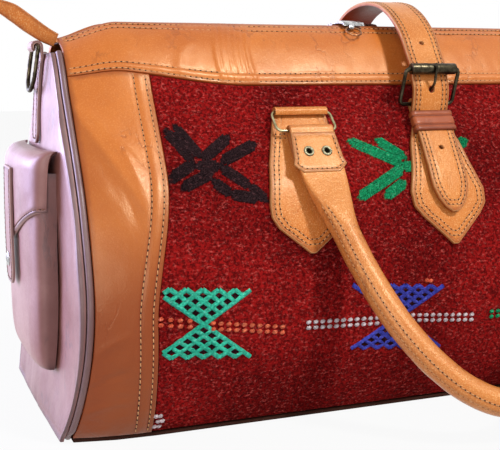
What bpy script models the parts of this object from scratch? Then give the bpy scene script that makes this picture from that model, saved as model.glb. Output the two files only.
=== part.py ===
"""A leather and kilim travel bag, built piece by piece in metres.

X runs along the bag, -Y is the front and +Z is up. The origin is under the middle of the base.
The skin of the bag is one smooth surface, given by depth_at and half_length_at, and every panel,
tab and fitting takes its place from it.
"""

import math

import bmesh
import bpy
from mathutils import Matrix, Vector, geometry

GAP = 0.0003

# The bag's form. Heights in SECTION are shares of BODY_HEIGHT, depths are shares of HALF_DEPTH.
BODY_HEIGHT = 0.306
HALF_DEPTH = 0.131
HALF_LENGTH = 0.2925
FOOT_SPLAY = 0.015
SPLAY_SHARE = 0.39
CORNER_REACH = 0.060
CORNER_DROP = 0.009
END_DROOP = 0.013
DROOP_LENGTH = 0.0475
END_BULGE = 0.008
END_TOP_SHARE = 0.954
SECTION = [
    (0.000, 0.800), (0.040, 0.866), (0.105, 0.931), (0.200, 0.985), (0.294, 1.000),
    (0.389, 0.977), (0.484, 0.916), (0.582, 0.824), (0.676, 0.695), (0.771, 0.550),
    (0.833, 0.458), (0.897, 0.382), (0.948, 0.305), (0.980, 0.229), (1.000, 0.145),
]

# Panels
KILIM_THICKNESS = 0.003
LEATHER_THICKNESS = 0.0035
LEATHER_PROUD = 0.0010
PANEL_FOOT = 0.0042
PANEL_ROWS = 12
BASE_THICKNESS = 0.0032
BOARD_THICKNESS = 0.003
BOARD_MARGIN = 0.009
LINING_THICKNESS = 0.001
LINING_INSET = 0.0048
LINING_SIDES = 16
STRIP_WIDTH_TOP = 0.0635
STRIP_WIDTH_FOOT = 0.0460
BAND_HEIGHT = 0.0485
BAND_END_RISE = 0.013
PIPING_RADIUS = 0.0025

# Handle tabs, rings and handles
FITTING_X = 0.1145
TAB_SLANT = 0.010
TAB_THICKNESS = 0.0025
TAB_BELOW_TOP = 0.0720
TAB_OUTLINE = [
    (0.000, 0.0020), (0.010, 0.0152), (0.019, 0.0270), (0.027, 0.0325), (0.036, 0.0335),
    (0.065, 0.0305), (0.090, 0.0250), (0.1010, 0.0220),
]
RING_WIRE = 0.0011
RING_HALF_WIDTH = 0.0250
RING_DROP = 0.0200
RING_TILT = 47.0
ROLL_CLEARANCE = 0.0005
ROLL_TURN = 250.0
NECK_TURN = 215.0
HANDLE_HALF_SPAN = 0.1125
HANDLE_DROP = 0.230
HANDLE_TILT = 33.0
HANDLE_RADIUS = 0.0103
HANDLE_END_HALF_WIDTH = 0.0185
HANDLE_END_THICKNESS = 0.0030
HANDLE_FOLD_LENGTH = 0.031
HANDLE_SIDES = 10
EYELET_FROM_RING = 0.0205
EYELET_SPACING = 0.0150
EYELET_HOLE = 0.0021
EYELET_BARREL = 0.0029
EYELET_FLANGE = 0.0043
EYELET_FLANGE_THICKNESS = 0.0009

# Closure strap and buckle
STRAP_HALF_WIDTH = 0.0165
STRAP_THICKNESS = 0.0032
STRAP_HOLE_RADIUS = 0.0020
STRAP_TIP_BELOW_TOP = 0.150
STRAP_ARCH_RISE = 0.0205
BASE_TAB_OUTLINE = [
    (0.000, 0.0020), (0.012, 0.0150), (0.022, 0.0260), (0.030, 0.0325), (0.041, 0.0335),
    (0.060, 0.0270), (0.078, 0.0225), (0.088, 0.0175), (0.094, 0.0145), (0.1060, 0.0140),
]
BUCKLE_BAR_BELOW_TOP = 0.0675
BUCKLE_WIRE = 0.0016
BUCKLE_HALF_WIDTH = 0.0245
ROLLER_RADIUS = 0.0045
ROLLER_HALF_LENGTH = 0.0205
ROLLER_AHEAD = 0.0100
ROLLER_ABOVE = 0.0285
PRONG_RADIUS = 0.0011
KEEPER_HALF_HEIGHT = 0.0090
KEEPER_WALL = 0.0018
KEEPER_BELOW_TOP = 0.0828

# Zip
ZIP_DROP = 0.0048
TAPE_INSET = 0.0008
TAPE_THICKNESS = 0.0008
TEETH_WIDTH = 0.0033
TEETH_HEIGHT = 0.0034
TAPE_END = 0.0040
LEFT_SLIDER_X = -0.043
RIGHT_SLIDER_X = -0.018
SLIDER_HALF_LENGTH = 0.0095
SLIDER_ABOVE_TEETH = 0.0004
SLIDER_EYE_AHEAD = 0.0300
SLIDER_EYE_BELOW_TOP = 0.0015
SLIDER_EYE_SHIFT = -0.004
EYE_RADIUS = 0.0026
EYE_HOLE = 0.0014
EYE_HALF_LENGTH = 0.0021
PULL_RING_RADIUS = 0.0065
PULL_RING_WIRE = 0.0008
PULL_RING_LIFT = 0.0035
END_TAB_THICKNESS = 0.004
END_TAB_PATH = [
    (0.0000, 0.0000, 0.0055), (0.0090, 0.0045, 0.0062), (0.0210, 0.0125, 0.0068),
    (0.0330, 0.0210, 0.0066), (0.0430, 0.0255, 0.0050), (0.0495, 0.0270, 0.0015),
]

# D-rings on the ends
D_BAR_BELOW_TOP = 0.019
D_WIRE = 0.0017
D_HALF_WIDTH = 0.0145
D_DROP = 0.034
D_TILT = 9.0
D_TAB_HALF_WIDTH = 0.0095
D_TAB_LENGTH = 0.073

# End pockets
POCKET_FOOT = 0.045
POCKET_MOUTH = 0.195
POCKET_HALF_WIDTH = 0.0650
POCKET_DEPTH = 0.0185
POCKET_WALL = 0.0025
FLAP_TOP = 0.209
FLAP_SIDE_LOW = 0.166
FLAP_MIDDLE_LOW = 0.138
FLAP_WALL = 0.0024
FLAP_TURN = 0.014
POUCH_SQUARE = 5.0
POUCH_FOOT_RADIUS = 0.055
POUCH_TAPER = 0.10
POCKET_STRAP_HALF_WIDTH = 0.0150
POCKET_STRAP_THICKNESS = 0.0024
POCKET_STRAP_TIP = 0.103
POCKET_STRAP_TOP = 0.196
SNAP_HEIGHT = 0.122
SNAP_RADIUS = 0.0060
SNAP_THICKNESS = 0.0018

# Kilim motifs, as fields raised by the thickness of their wool
MOTIF_RAISE = 0.0008
MOTIF_ROOT = 0.0012
CROSSES = [
    (-0.1910, 0.1980, 1.00, "charcoal_wool"), (-0.0240, 0.1930, 1.35, "green_wool"),
    (0.1480, 0.1900, 1.35, "charcoal_wool"),
]
HOURGLASSES = [
    (-0.2112, 0.0875, 5, "turquoise_wool"), (-0.0520, 0.0790, 6, "violet_wool"),
    (0.1180, 0.0750, 6, "green_wool"),
]
KNOT_ROWS = [
    ((-0.2010, 0.0858), (-0.1515, 0.0787), "salmon_wool"), ((-0.1300, 0.0800), (-0.0720, 0.0780), "white_wool"),
    ((-0.0400, 0.0775), (0.0140, 0.0730), "white_wool"), ((0.0330, 0.0738), (0.1050, 0.0738), "green_wool"),
    ((0.1320, 0.0732), (0.1900, 0.0712), "salmon_wool"),
]
KNOT_ROW_HALF_HEIGHT = 0.0011
KNOT_ROW_SPACING = 0.0042
CROSS_LEAVES = [((0.0128, 0.0036), (0.0360, 0.0200)), ((0.0035, 0.0062), (0.0215, 0.0235))]
LEAF_ROOT_HALF_WIDTH = 0.0024
LEAF_TIP_HALF_WIDTH = 0.0036
LEAF_ROOT_SHARE = 0.25
LEAF_TIP_SHARE = 0.15
HOURGLASS_HALF_HEIGHT = 0.0235
HOURGLASS_WAIST = 0.0022
LATTICE_PITCH = 0.0130
TOOTH_SHARE = 0.30
LATTICE_HOLE = (0.22, 0.34)
OPEN_HOURGLASSES = 2
MOTIF_SLOPE = 0.08
MOTIF_BOW = 0.35
TAB_LIFT = MOTIF_RAISE + GAP

COLOURS = {
    "tan_leather": ((0.560, 0.235, 0.062), 0.42, 0.0),
    "brown_leather": ((0.230, 0.085, 0.035), 0.38, 0.0),
    "keeper_leather": ((0.420, 0.110, 0.050), 0.40, 0.0),
    "kilim_red": ((0.155, 0.008, 0.012), 0.95, 0.0),
    "charcoal_wool": ((0.014, 0.017, 0.026), 0.95, 0.0),
    "green_wool": ((0.012, 0.240, 0.090), 0.95, 0.0),
    "turquoise_wool": ((0.050, 0.420, 0.270), 0.95, 0.0),
    "violet_wool": ((0.080, 0.080, 0.440), 0.95, 0.0),
    "salmon_wool": ((0.620, 0.090, 0.060), 0.95, 0.0),
    "white_wool": ((0.700, 0.560, 0.600), 0.95, 0.0),
    "antique_metal": ((0.045, 0.038, 0.022), 0.35, 1.0),
    "pale_brass": ((0.420, 0.390, 0.230), 0.30, 1.0),
    "silver_metal": ((0.800, 0.790, 0.770), 0.18, 1.0),
    "copper_wire": ((0.330, 0.140, 0.060), 0.35, 1.0),
    "zip_tape": ((0.080, 0.030, 0.018), 0.85, 0.0),
    "board": ((0.300, 0.240, 0.170), 0.90, 0.0),
    "lining_cloth": ((0.120, 0.070, 0.045), 0.95, 0.0),
}


def material(name):
    """The named finish, made once."""
    if name in bpy.data.materials:
        return bpy.data.materials[name]
    colour, roughness, metallic = COLOURS[name]
    made = bpy.data.materials.new(name)
    made.use_nodes = True
    shader = made.node_tree.nodes["Principled BSDF"]
    shader.inputs["Base Color"].default_value = (*colour, 1.0)
    shader.inputs["Roughness"].default_value = roughness
    shader.inputs["Metallic"].default_value = metallic
    made.diffuse_color = (*colour, 1.0)
    return made


def smooth_step(t):
    t = min(1.0, max(0.0, t))
    return t * t * (3.0 - 2.0 * t)


def spread(low, high, count):
    """count values from low to high, both ends among them."""
    return [low + (high - low) * i / (count - 1) for i in range(count)]


def curve_through(knots, t):
    """The value at t of a smooth curve through (t, value) knots."""
    t = min(knots[-1][0], max(knots[0][0], t))
    i = 0
    while i < len(knots) - 2 and t > knots[i + 1][0]:
        i += 1

    def slope(k):
        before, after = knots[max(0, k - 1)], knots[min(len(knots) - 1, k + 1)]
        return (after[1] - before[1]) / (after[0] - before[0])

    (t0, v0), (t1, v1) = knots[i], knots[i + 1]
    h, u = t1 - t0, (t - t0) / (t1 - t0)
    return (
        v0 * (1 + 2 * u) * (1 - u) ** 2
        + h * slope(i) * u * (1 - u) ** 2
        + v1 * u * u * (3 - 2 * u)
        + h * slope(i + 1) * u * u * (u - 1)
    )


# The skin of the bag


def depth_at(z):
    """Half the bag's depth at height z, in the middle of its length."""
    return HALF_DEPTH * curve_through(SECTION, z / BODY_HEIGHT)


def half_length_at(z):
    """X of the seam between the front and the end panel."""
    return HALF_LENGTH + FOOT_SPLAY * max(0.0, 1.0 - z / (SPLAY_SHARE * BODY_HEIGHT)) ** 2


def seam_depth_at(z):
    return depth_at(z) - CORNER_DROP


def droop_at(x, z):
    """How far the top sinks towards the ends."""
    along = smooth_step((abs(x) - HALF_LENGTH + DROOP_LENGTH) / DROOP_LENGTH)
    return END_DROOP * along * (z / BODY_HEIGHT) ** 6


def skin(x, z, side):
    inward = max(0.0, (abs(x) - half_length_at(z) + CORNER_REACH) / CORNER_REACH)
    depth = depth_at(z) - CORNER_DROP * min(inward, 1.1) ** 2
    return Vector((x, side * depth, z - droop_at(x, z)))


def face_point(x, z, side, lift=0.0):
    """A point of the front (side -1) or the back (side 1), lifted off the skin by lift."""
    step = 0.0005
    low, high = max(0.0, z - step), min(BODY_HEIGHT, z + step)
    up = skin(x, high, side) - skin(x, low, side)
    along = skin(x + step, z, side) - skin(x - step, z, side)
    normal = along.cross(up).normalized()
    if normal.y * side < 0:
        normal.negate()
    return skin(x, z, side) + normal * lift


def end_point(y, z, end, lift=0.0):
    """A point of the left (end -1) or right (end 1) end panel's inner face, lifted outwards."""
    half = seam_depth_at(z)
    across = max(0.0, 1.0 - (y / half) ** 2)
    top = END_TOP_SHARE * BODY_HEIGHT
    bulge = END_BULGE * across * math.sin(math.pi * min(1.0, max(0.0, z / top))) ** 0.6
    x = half_length_at(z) + PIPING_RADIUS + GAP + bulge + lift
    return Vector((end * x, y, z - droop_at(HALF_LENGTH, z)))


def kilim_edge(z):
    """X of the kilim's edge, where the end strip begins."""
    low = smooth_step((0.65 - z / BODY_HEIGHT) / 0.36)
    return HALF_LENGTH - STRIP_WIDTH_TOP + (STRIP_WIDTH_TOP - STRIP_WIDTH_FOOT) * low


def band_low(x):
    """Height of the top band's lower edge, which rises towards the ends."""
    rise = smooth_step((abs(x) - 0.5 * HALF_LENGTH) / (0.46 * HALF_LENGTH))
    return BODY_HEIGHT - BAND_HEIGHT + BAND_END_RISE * rise


# Solids


def new_object(name, mesh, *materials):
    made = bpy.data.objects.new(name, mesh)
    bpy.context.scene.collection.objects.link(made)
    for each in materials:
        mesh.materials.append(material(each))
    mesh.shade_smooth()
    mesh.set_sharp_from_angle(angle=math.radians(40))
    return made


def object_from(name, bm, *materials):
    bmesh.ops.recalc_face_normals(bm, faces=bm.faces)
    mesh = bpy.data.meshes.new(name)
    bm.to_mesh(mesh)
    bm.free()
    return new_object(name, mesh, *materials)


def add_grid(bm, grid):
    rows = [[bm.verts.new(p) for p in row] for row in grid]
    for low, high in zip(rows, rows[1:]):
        for i in range(len(low) - 1):
            bm.faces.new((low[i], low[i + 1], high[i + 1], high[i]))
    return rows


def rim_of(rows):
    """The vertices round a grid, in order."""
    left = [row[0] for row in rows[1:-1]]
    right = [row[-1] for row in rows[1:-1]]
    return rows[0] + right + rows[-1][::-1] + left[::-1]


def solid_between(name, outer, inner, finish):
    """One closed body between two grids of points of the same size."""
    bm = bmesh.new()
    out_rim, in_rim = rim_of(add_grid(bm, outer)), rim_of(add_grid(bm, inner))
    for i in range(len(out_rim)):
        j = (i + 1) % len(out_rim)
        bm.faces.new((out_rim[i], out_rim[j], in_rim[j], in_rim[i]))
    return object_from(name, bm, finish)


def tube(name, loops, finish, closed=False):
    """A body from loops of points, capped at both ends or closed into a ring."""
    bm = bmesh.new()
    rings = [[bm.verts.new(p) for p in loop] for loop in loops]
    pairs = list(zip(rings, rings[1:])) + ([(rings[-1], rings[0])] if closed else [])
    for a, b in pairs:
        for i in range(len(a)):
            j = (i + 1) % len(a)
            bm.faces.new((a[i], a[j], b[j], b[i]))
    if not closed:
        bm.faces.new(rings[0])
        bm.faces.new(rings[-1])
    return object_from(name, bm, finish)


def wire(name, path, radius, finish, closed=False, sides=8, first_normal=Vector((0, 0, 1))):
    """A round wire along a path, without twist."""
    loops, normal, count = [], first_normal.copy(), len(path)
    for i, point in enumerate(path):
        before = path[i - 1] if (i or closed) else path[0]
        after = path[(i + 1) % count] if (i < count - 1 or closed) else path[-1]
        tangent = (after - before).normalized()
        normal = (normal - tangent * normal.dot(tangent)).normalized()
        other = tangent.cross(normal)
        angles = [2 * math.pi * (k + 0.5) / sides for k in range(sides)]
        loops.append([point + radius * (math.cos(a) * normal + math.sin(a) * other) for a in angles])
    return tube(name, loops, finish, closed)


def ribbon(name, path, across, half_widths, thickness, finish, shifts=None):
    """A flat strap along a path: across is its width's direction."""
    loops = []
    for i, point in enumerate(path):
        tangent = (path[min(i + 1, len(path) - 1)] - path[max(i - 1, 0)]).normalized()
        normal = tangent.cross(across).normalized() * (thickness / 2)
        middle = point + across * (shifts[i] if shifts else 0.0)
        side = across * half_widths[i]
        loops.append([middle - side - normal, middle + side - normal,
                      middle + side + normal, middle - side + normal])
    return tube(name, loops, finish)


def box(name, low, high, finish):
    bm = bmesh.new()
    bmesh.ops.create_cube(bm, size=1.0)
    middle, size = (Vector(low) + Vector(high)) / 2, Vector(high) - Vector(low)
    for vert in bm.verts:
        vert.co = Vector(c * s for c, s in zip(vert.co, size)) + middle
    return object_from(name, bm, finish)


def hidden(helper):
    helper.hide_render = True
    helper.display_type = "WIRE"
    return helper


def combine(target, helper, operation):
    """Cuts a hidden helper from the target, or joins it on."""
    modifier = target.modifiers.new(helper.name, "BOOLEAN")
    modifier.operation = operation
    modifier.solver = "EXACT"
    modifier.material_mode = "TRANSFER"
    modifier.object = hidden(helper)


def rod(name, centre, axis, radius, half_length, sides=10):
    """A straight round bar, used for holes."""
    axis = axis.normalized()
    path = [centre - axis * half_length, centre + axis * half_length]
    normal = axis.orthogonal()
    return wire(name, path, radius, "board", sides=sides, first_normal=normal)


def arc(centre, radius, start, stop, count, right, up):
    """Points round a centre in the plane of two unit vectors, by degrees."""
    found = []
    for angle in spread(math.radians(start), math.radians(stop), count):
        found.append(centre + radius * (math.cos(angle) * right + math.sin(angle) * up))
    return found


# Panels of the body


def region(left, right, low, high, shares, rows):
    """Rows of (x, z) points that fill the space between four edges, at given shares of its width."""
    found = []
    for v in spread(0.0, 1.0, rows):
        row = []
        for u in shares:
            z = v * BODY_HEIGHT
            for _ in range(8):
                x = left(z) + u * (right(z) - left(z))
                z = low(x) + v * (high(x) - low(x))
            row.append((x, z))
        found.append(row)
    return found


def sheet(name, rows, inner, outer, side, finish):
    grids = [[[face_point(x, z, side, lift) for x, z in row] for row in rows] for lift in (outer, inner)]
    return solid_between(name, *grids, finish)


def foot(_):
    return PANEL_FOOT


def below_band(x):
    return band_low(x) - GAP


def kilim_panel(name, side):
    edge = lambda z: kilim_edge(z) - GAP / 2
    rows = region(lambda z: -edge(z), edge, foot, below_band, spread(0.0, 1.0, 9), PANEL_ROWS)
    panel = sheet(name, rows, -KILIM_THICKNESS, 0.0, side, "kilim_red")
    combine(panel, motif_fields(name + "_fields", side), "UNION")
    return panel


def seam_edge(z):
    return half_length_at(z) - PIPING_RADIUS - GAP


def leather_sheet(name, rows, side):
    inner = LEATHER_PROUD - LEATHER_THICKNESS
    return sheet(name, rows, inner, LEATHER_PROUD, side, "tan_leather")


def end_strip(name, side, end):
    if end < 0:
        left, right = lambda z: -seam_edge(z), lambda z: -kilim_edge(z) - GAP / 2
    else:
        left, right = lambda z: kilim_edge(z) + GAP / 2, seam_edge
    return leather_sheet(name, region(left, right, foot, below_band, spread(0.0, 1.0, 4), PANEL_ROWS), side)


def top_band(name, side):
    kilim, seam = kilim_edge(BODY_HEIGHT), seam_edge(BODY_HEIGHT)
    right = spread(0.0, kilim - GAP / 2, 5) + spread(kilim + GAP / 2, seam, 4)
    shares = [0.5 + x / seam / 2 for x in [-x for x in reversed(right)] + right[1:]]
    rows = region(lambda z: -seam_edge(z), seam_edge, band_low, lambda x: BODY_HEIGHT, shares, 5)
    return leather_sheet(name, rows, side)


def end_panel(name, end):
    heights = spread(GAP * 5, END_TOP_SHARE * BODY_HEIGHT, 11)
    grids = []
    for lift in (LEATHER_THICKNESS, 0.0):
        grid = []
        for z in heights:
            half = seam_depth_at(max(z, PANEL_FOOT)) - 0.001
            grid.append([end_point(share * half, z, end, lift) for share in spread(-1.0, 1.0, 9)])
        grids.append(grid)
    return solid_between(name, *grids, "brown_leather")


def piping(name, end):
    """The roll in the end panel's seam: down the front, across the base and up the back."""
    top = END_TOP_SHARE * BODY_HEIGHT
    down = []
    for z in spread(top, 0.012, 11):
        down.append(Vector((end * half_length_at(z), -seam_depth_at(z), z - droop_at(HALF_LENGTH, z))))
    low = PIPING_RADIUS + GAP
    x = end * half_length_at(2 * low)
    corner = seam_depth_at(PANEL_FOOT)
    down.append(Vector((x, -corner + 0.002, 0.0062)))
    down.append(Vector((x, -corner + 0.008, low)))
    up = [Vector((p.x, -p.y, p.z)) for p in reversed(down)]
    return wire(name, down + up, PIPING_RADIUS, "brown_leather", sides=6, first_normal=Vector((1, 0, 0)))


def plate(name, outline, low, high, finish):
    """A flat plate from an outline of (x, y) points."""
    return tube(name, [[Vector((x, y, z)) for x, y in outline] for z in (low, high)], finish)


def base_outline(margin):
    low = PIPING_RADIUS + GAP
    half = half_length_at(2 * low) - low - margin
    side = [(x, skin(x, PANEL_FOOT, 1).y - margin - 0.001) for x in spread(-half, half, 21)]
    return side + [(x, -y) for x, y in reversed(side)]


def lining(name):
    """The cloth bag inside, open at the top."""
    top = (END_TOP_SHARE - 0.02) * BODY_HEIGHT
    floor = BASE_THICKNESS + GAP + BOARD_THICKNESS + GAP
    heights = spread(floor, top, 6)

    def ring(z, inset):
        long_half = half_length_at(z) - PIPING_RADIUS - inset
        deep_half = depth_at(z) - LINING_INSET - inset
        found = []
        for k in range(LINING_SIDES):
            angle = 2 * math.pi * (k + 0.5) / LINING_SIDES
            c, s = math.cos(angle), math.sin(angle)
            x = long_half * math.copysign(abs(c) ** 0.4, c)
            y = deep_half * math.copysign(abs(s) ** 0.4, s)
            found.append(Vector((x, y, z - droop_at(x, z))))
        return found

    outer = [ring(z, 0.0) for z in heights]
    inner = [ring(z, LINING_THICKNESS) for z in [floor + LINING_THICKNESS] + heights[1:]]
    return tube(name, outer + inner[::-1], "lining_cloth")


def body():
    for side, face in ((-1, "front"), (1, "back")):
        kilim_panel(f"{face}_kilim_panel", side)
        top_band(f"{face}_top_band", side)
        for end, hand in ((-1, "left"), (1, "right")):
            end_strip(f"{face}_{hand}_strip", side, end)
    for end, hand in ((-1, "left"), (1, "right")):
        end_panel(f"{hand}_end_panel", end)
        piping(f"{hand}_piping", end)
    plate("base_panel", base_outline(0.0), 0.0, BASE_THICKNESS, "brown_leather")
    board_low = BASE_THICKNESS + GAP
    plate("base_board", base_outline(BOARD_MARGIN), board_low, board_low + BOARD_THICKNESS, "board")
    lining("lining")


# Kilim motifs: each field is a list of outlines, the first one solid and the others holes in it


def leaf(root, tip, centre, flip_x, flip_z):
    """A woven leaf as a long hexagon from its root to its tip."""
    root, tip = Vector(root), Vector(tip)
    along = tip - root
    across = Vector((-along.y, along.x)).normalized()
    points = [
        root, root + LEAF_ROOT_SHARE * along - LEAF_ROOT_HALF_WIDTH * across,
        tip - LEAF_TIP_SHARE * along - LEAF_TIP_HALF_WIDTH * across, tip,
        tip - LEAF_TIP_SHARE * along + LEAF_TIP_HALF_WIDTH * across,
        root + LEAF_ROOT_SHARE * along + LEAF_ROOT_HALF_WIDTH * across,
    ]
    return [[(centre[0] + flip_x * p.x, centre[1] + flip_z * p.y) for p in points]]


def cross_motif(centre, stretch):
    """Eight leaves, two to each arm."""
    signs = [(stretch * a, b) for a in (-1, 1) for b in (-1, 1)]
    return [leaf(root, tip, centre, *sign) for root, tip in CROSS_LEAVES for sign in signs]


def woven(centre, x, z):
    """A point of a motif, on weft lines that sag to the right and bow a little."""
    return centre[0] + x, centre[1] + z - MOTIF_SLOPE * x + MOTIF_BOW * x * x


def hourglass_motif(centre, teeth, is_open):
    """Two triangles with toothed edges, tip to tip: open lattices, or solid ones."""
    fields = []
    pitch = LATTICE_PITCH
    half_width = pitch * teeth / 2
    tooth = TOOTH_SHARE * pitch
    for up in (-1, 1):
        top = HOURGLASS_HALF_HEIGHT
        outline = [(-HOURGLASS_WAIST, 0.0006), (HOURGLASS_WAIST, 0.0006)]
        for k in range(teeth, 0, -1):
            x = -half_width + k * pitch
            outline += [(x, top - tooth), (x - pitch / 2, top)]
        outline.append((-half_width, top - tooth))
        loops = [outline]
        row_height = (top - tooth) / teeth
        for row in range(1, teeth if is_open else 1):
            z = top - tooth - (teeth - 1 - row) * row_height - 0.5 * row_height
            for k in range(row):
                x = (k - (row - 1) / 2) * pitch
                w, h = LATTICE_HOLE[0] * pitch, LATTICE_HOLE[1] * row_height
                loops.append([(x - w, z), (x, z - h), (x + w, z), (x, z + h)])
        fields.append([[woven(centre, x, up * z) for x, z in loop] for loop in loops])
    return fields


def knot_rows(left, right):
    """Two rows of raised knots between two points, as two narrow stripes."""
    rows, reach = [], KNOT_ROW_HALF_HEIGHT
    for lift in (-KNOT_ROW_SPACING / 2, KNOT_ROW_SPACING / 2):
        (x0, z0), (x1, z1) = left, right
        z0, z1 = z0 + lift, z1 + lift
        rows.append([[(x0, z0 - reach), (x1, z1 - reach), (x1, z1 + reach), (x0, z0 + reach)]])
    return rows


def motifs(is_open):
    """(fields, finish) of every motif on one face."""
    for x, height, stretch, wool in CROSSES:
        yield cross_motif((x, height), stretch), wool
    for k, (x, height, teeth, wool) in enumerate(HOURGLASSES):
        yield hourglass_motif((x, height), teeth, is_open and k < OPEN_HOURGLASSES), wool
    for left, right, wool in KNOT_ROWS:
        yield knot_rows(left, right), wool


def motif_fields(name, side):
    """All raised fields of one face, as separate prisms that follow the skin."""
    bm = bmesh.new()
    names = []
    for fields, finish in motifs(is_open=side < 0):
        if finish not in names:
            names.append(finish)
        for loops in fields:
            faces = add_prism(bm, loops, side)
            for face in faces:
                face.material_index = names.index(finish)
    return object_from(name, bm, *names)


def add_prism(bm, loops, side):
    flat = [Vector((x, z, 0.0)) for loop in loops for x, z in loop]
    triangles = geometry.tessellate_polygon([[Vector((x, z, 0.0)) for x, z in loop] for loop in loops])
    top = [bm.verts.new(face_point(p.x, p.y, side, MOTIF_RAISE)) for p in flat]
    low = [bm.verts.new(face_point(p.x, p.y, side, -MOTIF_ROOT)) for p in flat]
    faces = []
    for a, b, c in triangles:
        faces.append(bm.faces.new((top[a], top[b], top[c])))
        faces.append(bm.faces.new((low[c], low[b], low[a])))
    start = 0
    for loop in loops:
        count = len(loop)
        for i in range(count):
            j, k = start + i, start + (i + 1) % count
            faces.append(bm.faces.new((top[j], top[k], low[k], low[j])))
        start += count
    return faces


# Handle tabs, rings, handles


def tab_path(outline, tip_height, side, thickness):
    """Path and half widths of a tab that lies on the face, from its tip up."""
    path, widths = [], []
    tall = outline[-1][0]
    for t in sorted({h for h, _ in outline} | set(spread(0.0, tall, 9))):
        path.append(face_point(0.0, tip_height + t, side, TAB_LIFT + thickness / 2))
        half = outline[-1][1]
        for (h0, w0), (h1, w1) in zip(outline, outline[1:]):
            if h0 <= t <= h1:
                half = w0 + (w1 - w0) * (t - h0) / (h1 - h0)
                break
        widths.append(half)
    return path, widths


def roll_over(path, radius, side, turn):
    """Where a strap that lies on the face turns outwards round a bar: the bar's centre and the turn's points."""
    tangent = (path[-1] - path[-2]).normalized()
    outward = Vector((0, tangent.z, -tangent.y)) * (1 if side > 0 else -1)
    if outward.y * side < 0:
        outward.negate()
    centre = path[-1] + outward * radius
    return centre, arc(centre, radius, 180, 180 - turn, 9, outward, tangent)[1:]


def ring_bars(side):
    """The centres of a handle ring's upper and lower bar, at x 0."""
    path, _ = tab_path(TAB_OUTLINE, TAB_TIP, side, TAB_THICKNESS)
    radius = RING_WIRE + ROLL_CLEARANCE + TAB_THICKNESS / 2
    upper, _ = roll_over(path, radius, side, ROLL_TURN)
    tilt = math.radians(RING_TILT)
    return upper, upper + RING_DROP * Vector((0, side * math.sin(tilt), -math.cos(tilt)))


TAB_TIP = BODY_HEIGHT - TAB_BELOW_TOP - TAB_OUTLINE[-1][0]


def handle_tab(name, side, end):
    path, widths = tab_path(TAB_OUTLINE, TAB_TIP, side, TAB_THICKNESS)
    radius = RING_WIRE + ROLL_CLEARANCE + TAB_THICKNESS / 2
    _, turn = roll_over(path, radius, side, ROLL_TURN)
    tall = TAB_OUTLINE[-1][0]
    shifts = [end * TAB_SLANT * (1 - (p.z - path[0].z) / tall) for p in path] + [0.0] * len(turn)
    shifts = [end * FITTING_X + s for s in shifts]
    widths += [widths[-1]] * len(turn)
    return ribbon(name, path + turn, Vector((1, 0, 0)), widths, TAB_THICKNESS, "tan_leather", shifts)


def handle_ring(name, side, end):
    upper, lower = ring_bars(side)
    down = lower - upper
    across = Vector((RING_HALF_WIDTH, 0, 0))
    middle = (upper + lower) / 2 + Vector((end * FITTING_X, 0, 0))
    corner = [(0.0, 1.0), (0.80, 1.0), (0.94, 0.90), (1.0, 0.55), (1.0, 0.0)]
    quarter = [(a, b) for a, b in corner]
    loop = quarter + [(a, -b) for a, b in reversed(quarter[:-1])]
    loop += [(-a, -b) for a, b in quarter[1:]] + [(-a, b) for a, b in reversed(quarter[1:-1])]
    path = [middle + across * a - down * (0.5 * b) for a, b in loop]
    return wire(name, path, RING_WIRE, "pale_brass", closed=True, sides=6, first_normal=down.cross(across))


def handle_frames(side):
    """Directions of a hanging handle: down along it, and out of its plane towards the viewer."""
    tilt = math.radians(HANDLE_TILT)
    down = Vector((0, side * math.sin(tilt), -math.cos(tilt)))
    return down, Vector((0, side * math.cos(tilt), math.sin(tilt)))


def handle_sections(side):
    """(point, width axis, thickness axis, half width, half thickness, squareness) along the handle."""
    _, lower = ring_bars(side)
    down, out = handle_frames(side)
    half = HANDLE_END_THICKNESS / 2
    layer = half + GAP / 2
    turn = RING_WIRE + ROLL_CLEARANCE + half
    right = Vector((1, 0, 0))
    fold = []
    for s in (HANDLE_FOLD_LENGTH, 0.012):
        fold.append((lower + down * s - out * layer, -out))
    for angle in spread(205, -25, 6):
        a = math.radians(angle)
        outward = out * math.cos(a) - down * math.sin(a)
        fold.append((lower + outward * turn, outward))
    for s in (0.012, HANDLE_FOLD_LENGTH):
        fold.append((lower + down * s + out * layer, out))
    start = Vector((-HANDLE_HALF_SPAN, 0, 0))
    sections = [(p + start, right, n, HANDLE_END_HALF_WIDTH, half, 6.0) for p, n in fold]
    reach = math.asin(HANDLE_FOLD_LENGTH / HANDLE_DROP)
    for angle in spread(reach, math.pi / 2, 12)[1:]:
        x, s = -HANDLE_HALF_SPAN * math.cos(angle), HANDLE_DROP * math.sin(angle)
        along = Vector((HANDLE_HALF_SPAN * math.sin(angle), 0, 0)) + down * HANDLE_DROP * math.cos(angle)
        across = along.normalized().cross(out) * side
        share = smooth_step((s - HANDLE_FOLD_LENGTH) / 0.060)
        wide = HANDLE_END_HALF_WIDTH + (HANDLE_RADIUS - HANDLE_END_HALF_WIDTH) * share
        thick = half + (HANDLE_RADIUS - half) * share
        point = lower + Vector((x, 0, 0)) + down * s + out * layer * (1 - share)
        sections.append((point, across, out, wide, thick, 6.0 - 4.0 * share))
    flip = Vector((-1, 1, 1))
    return sections + [(p * flip, wide * flip, *rest) for p, wide, *rest in reversed(sections[:-1])]


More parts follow.
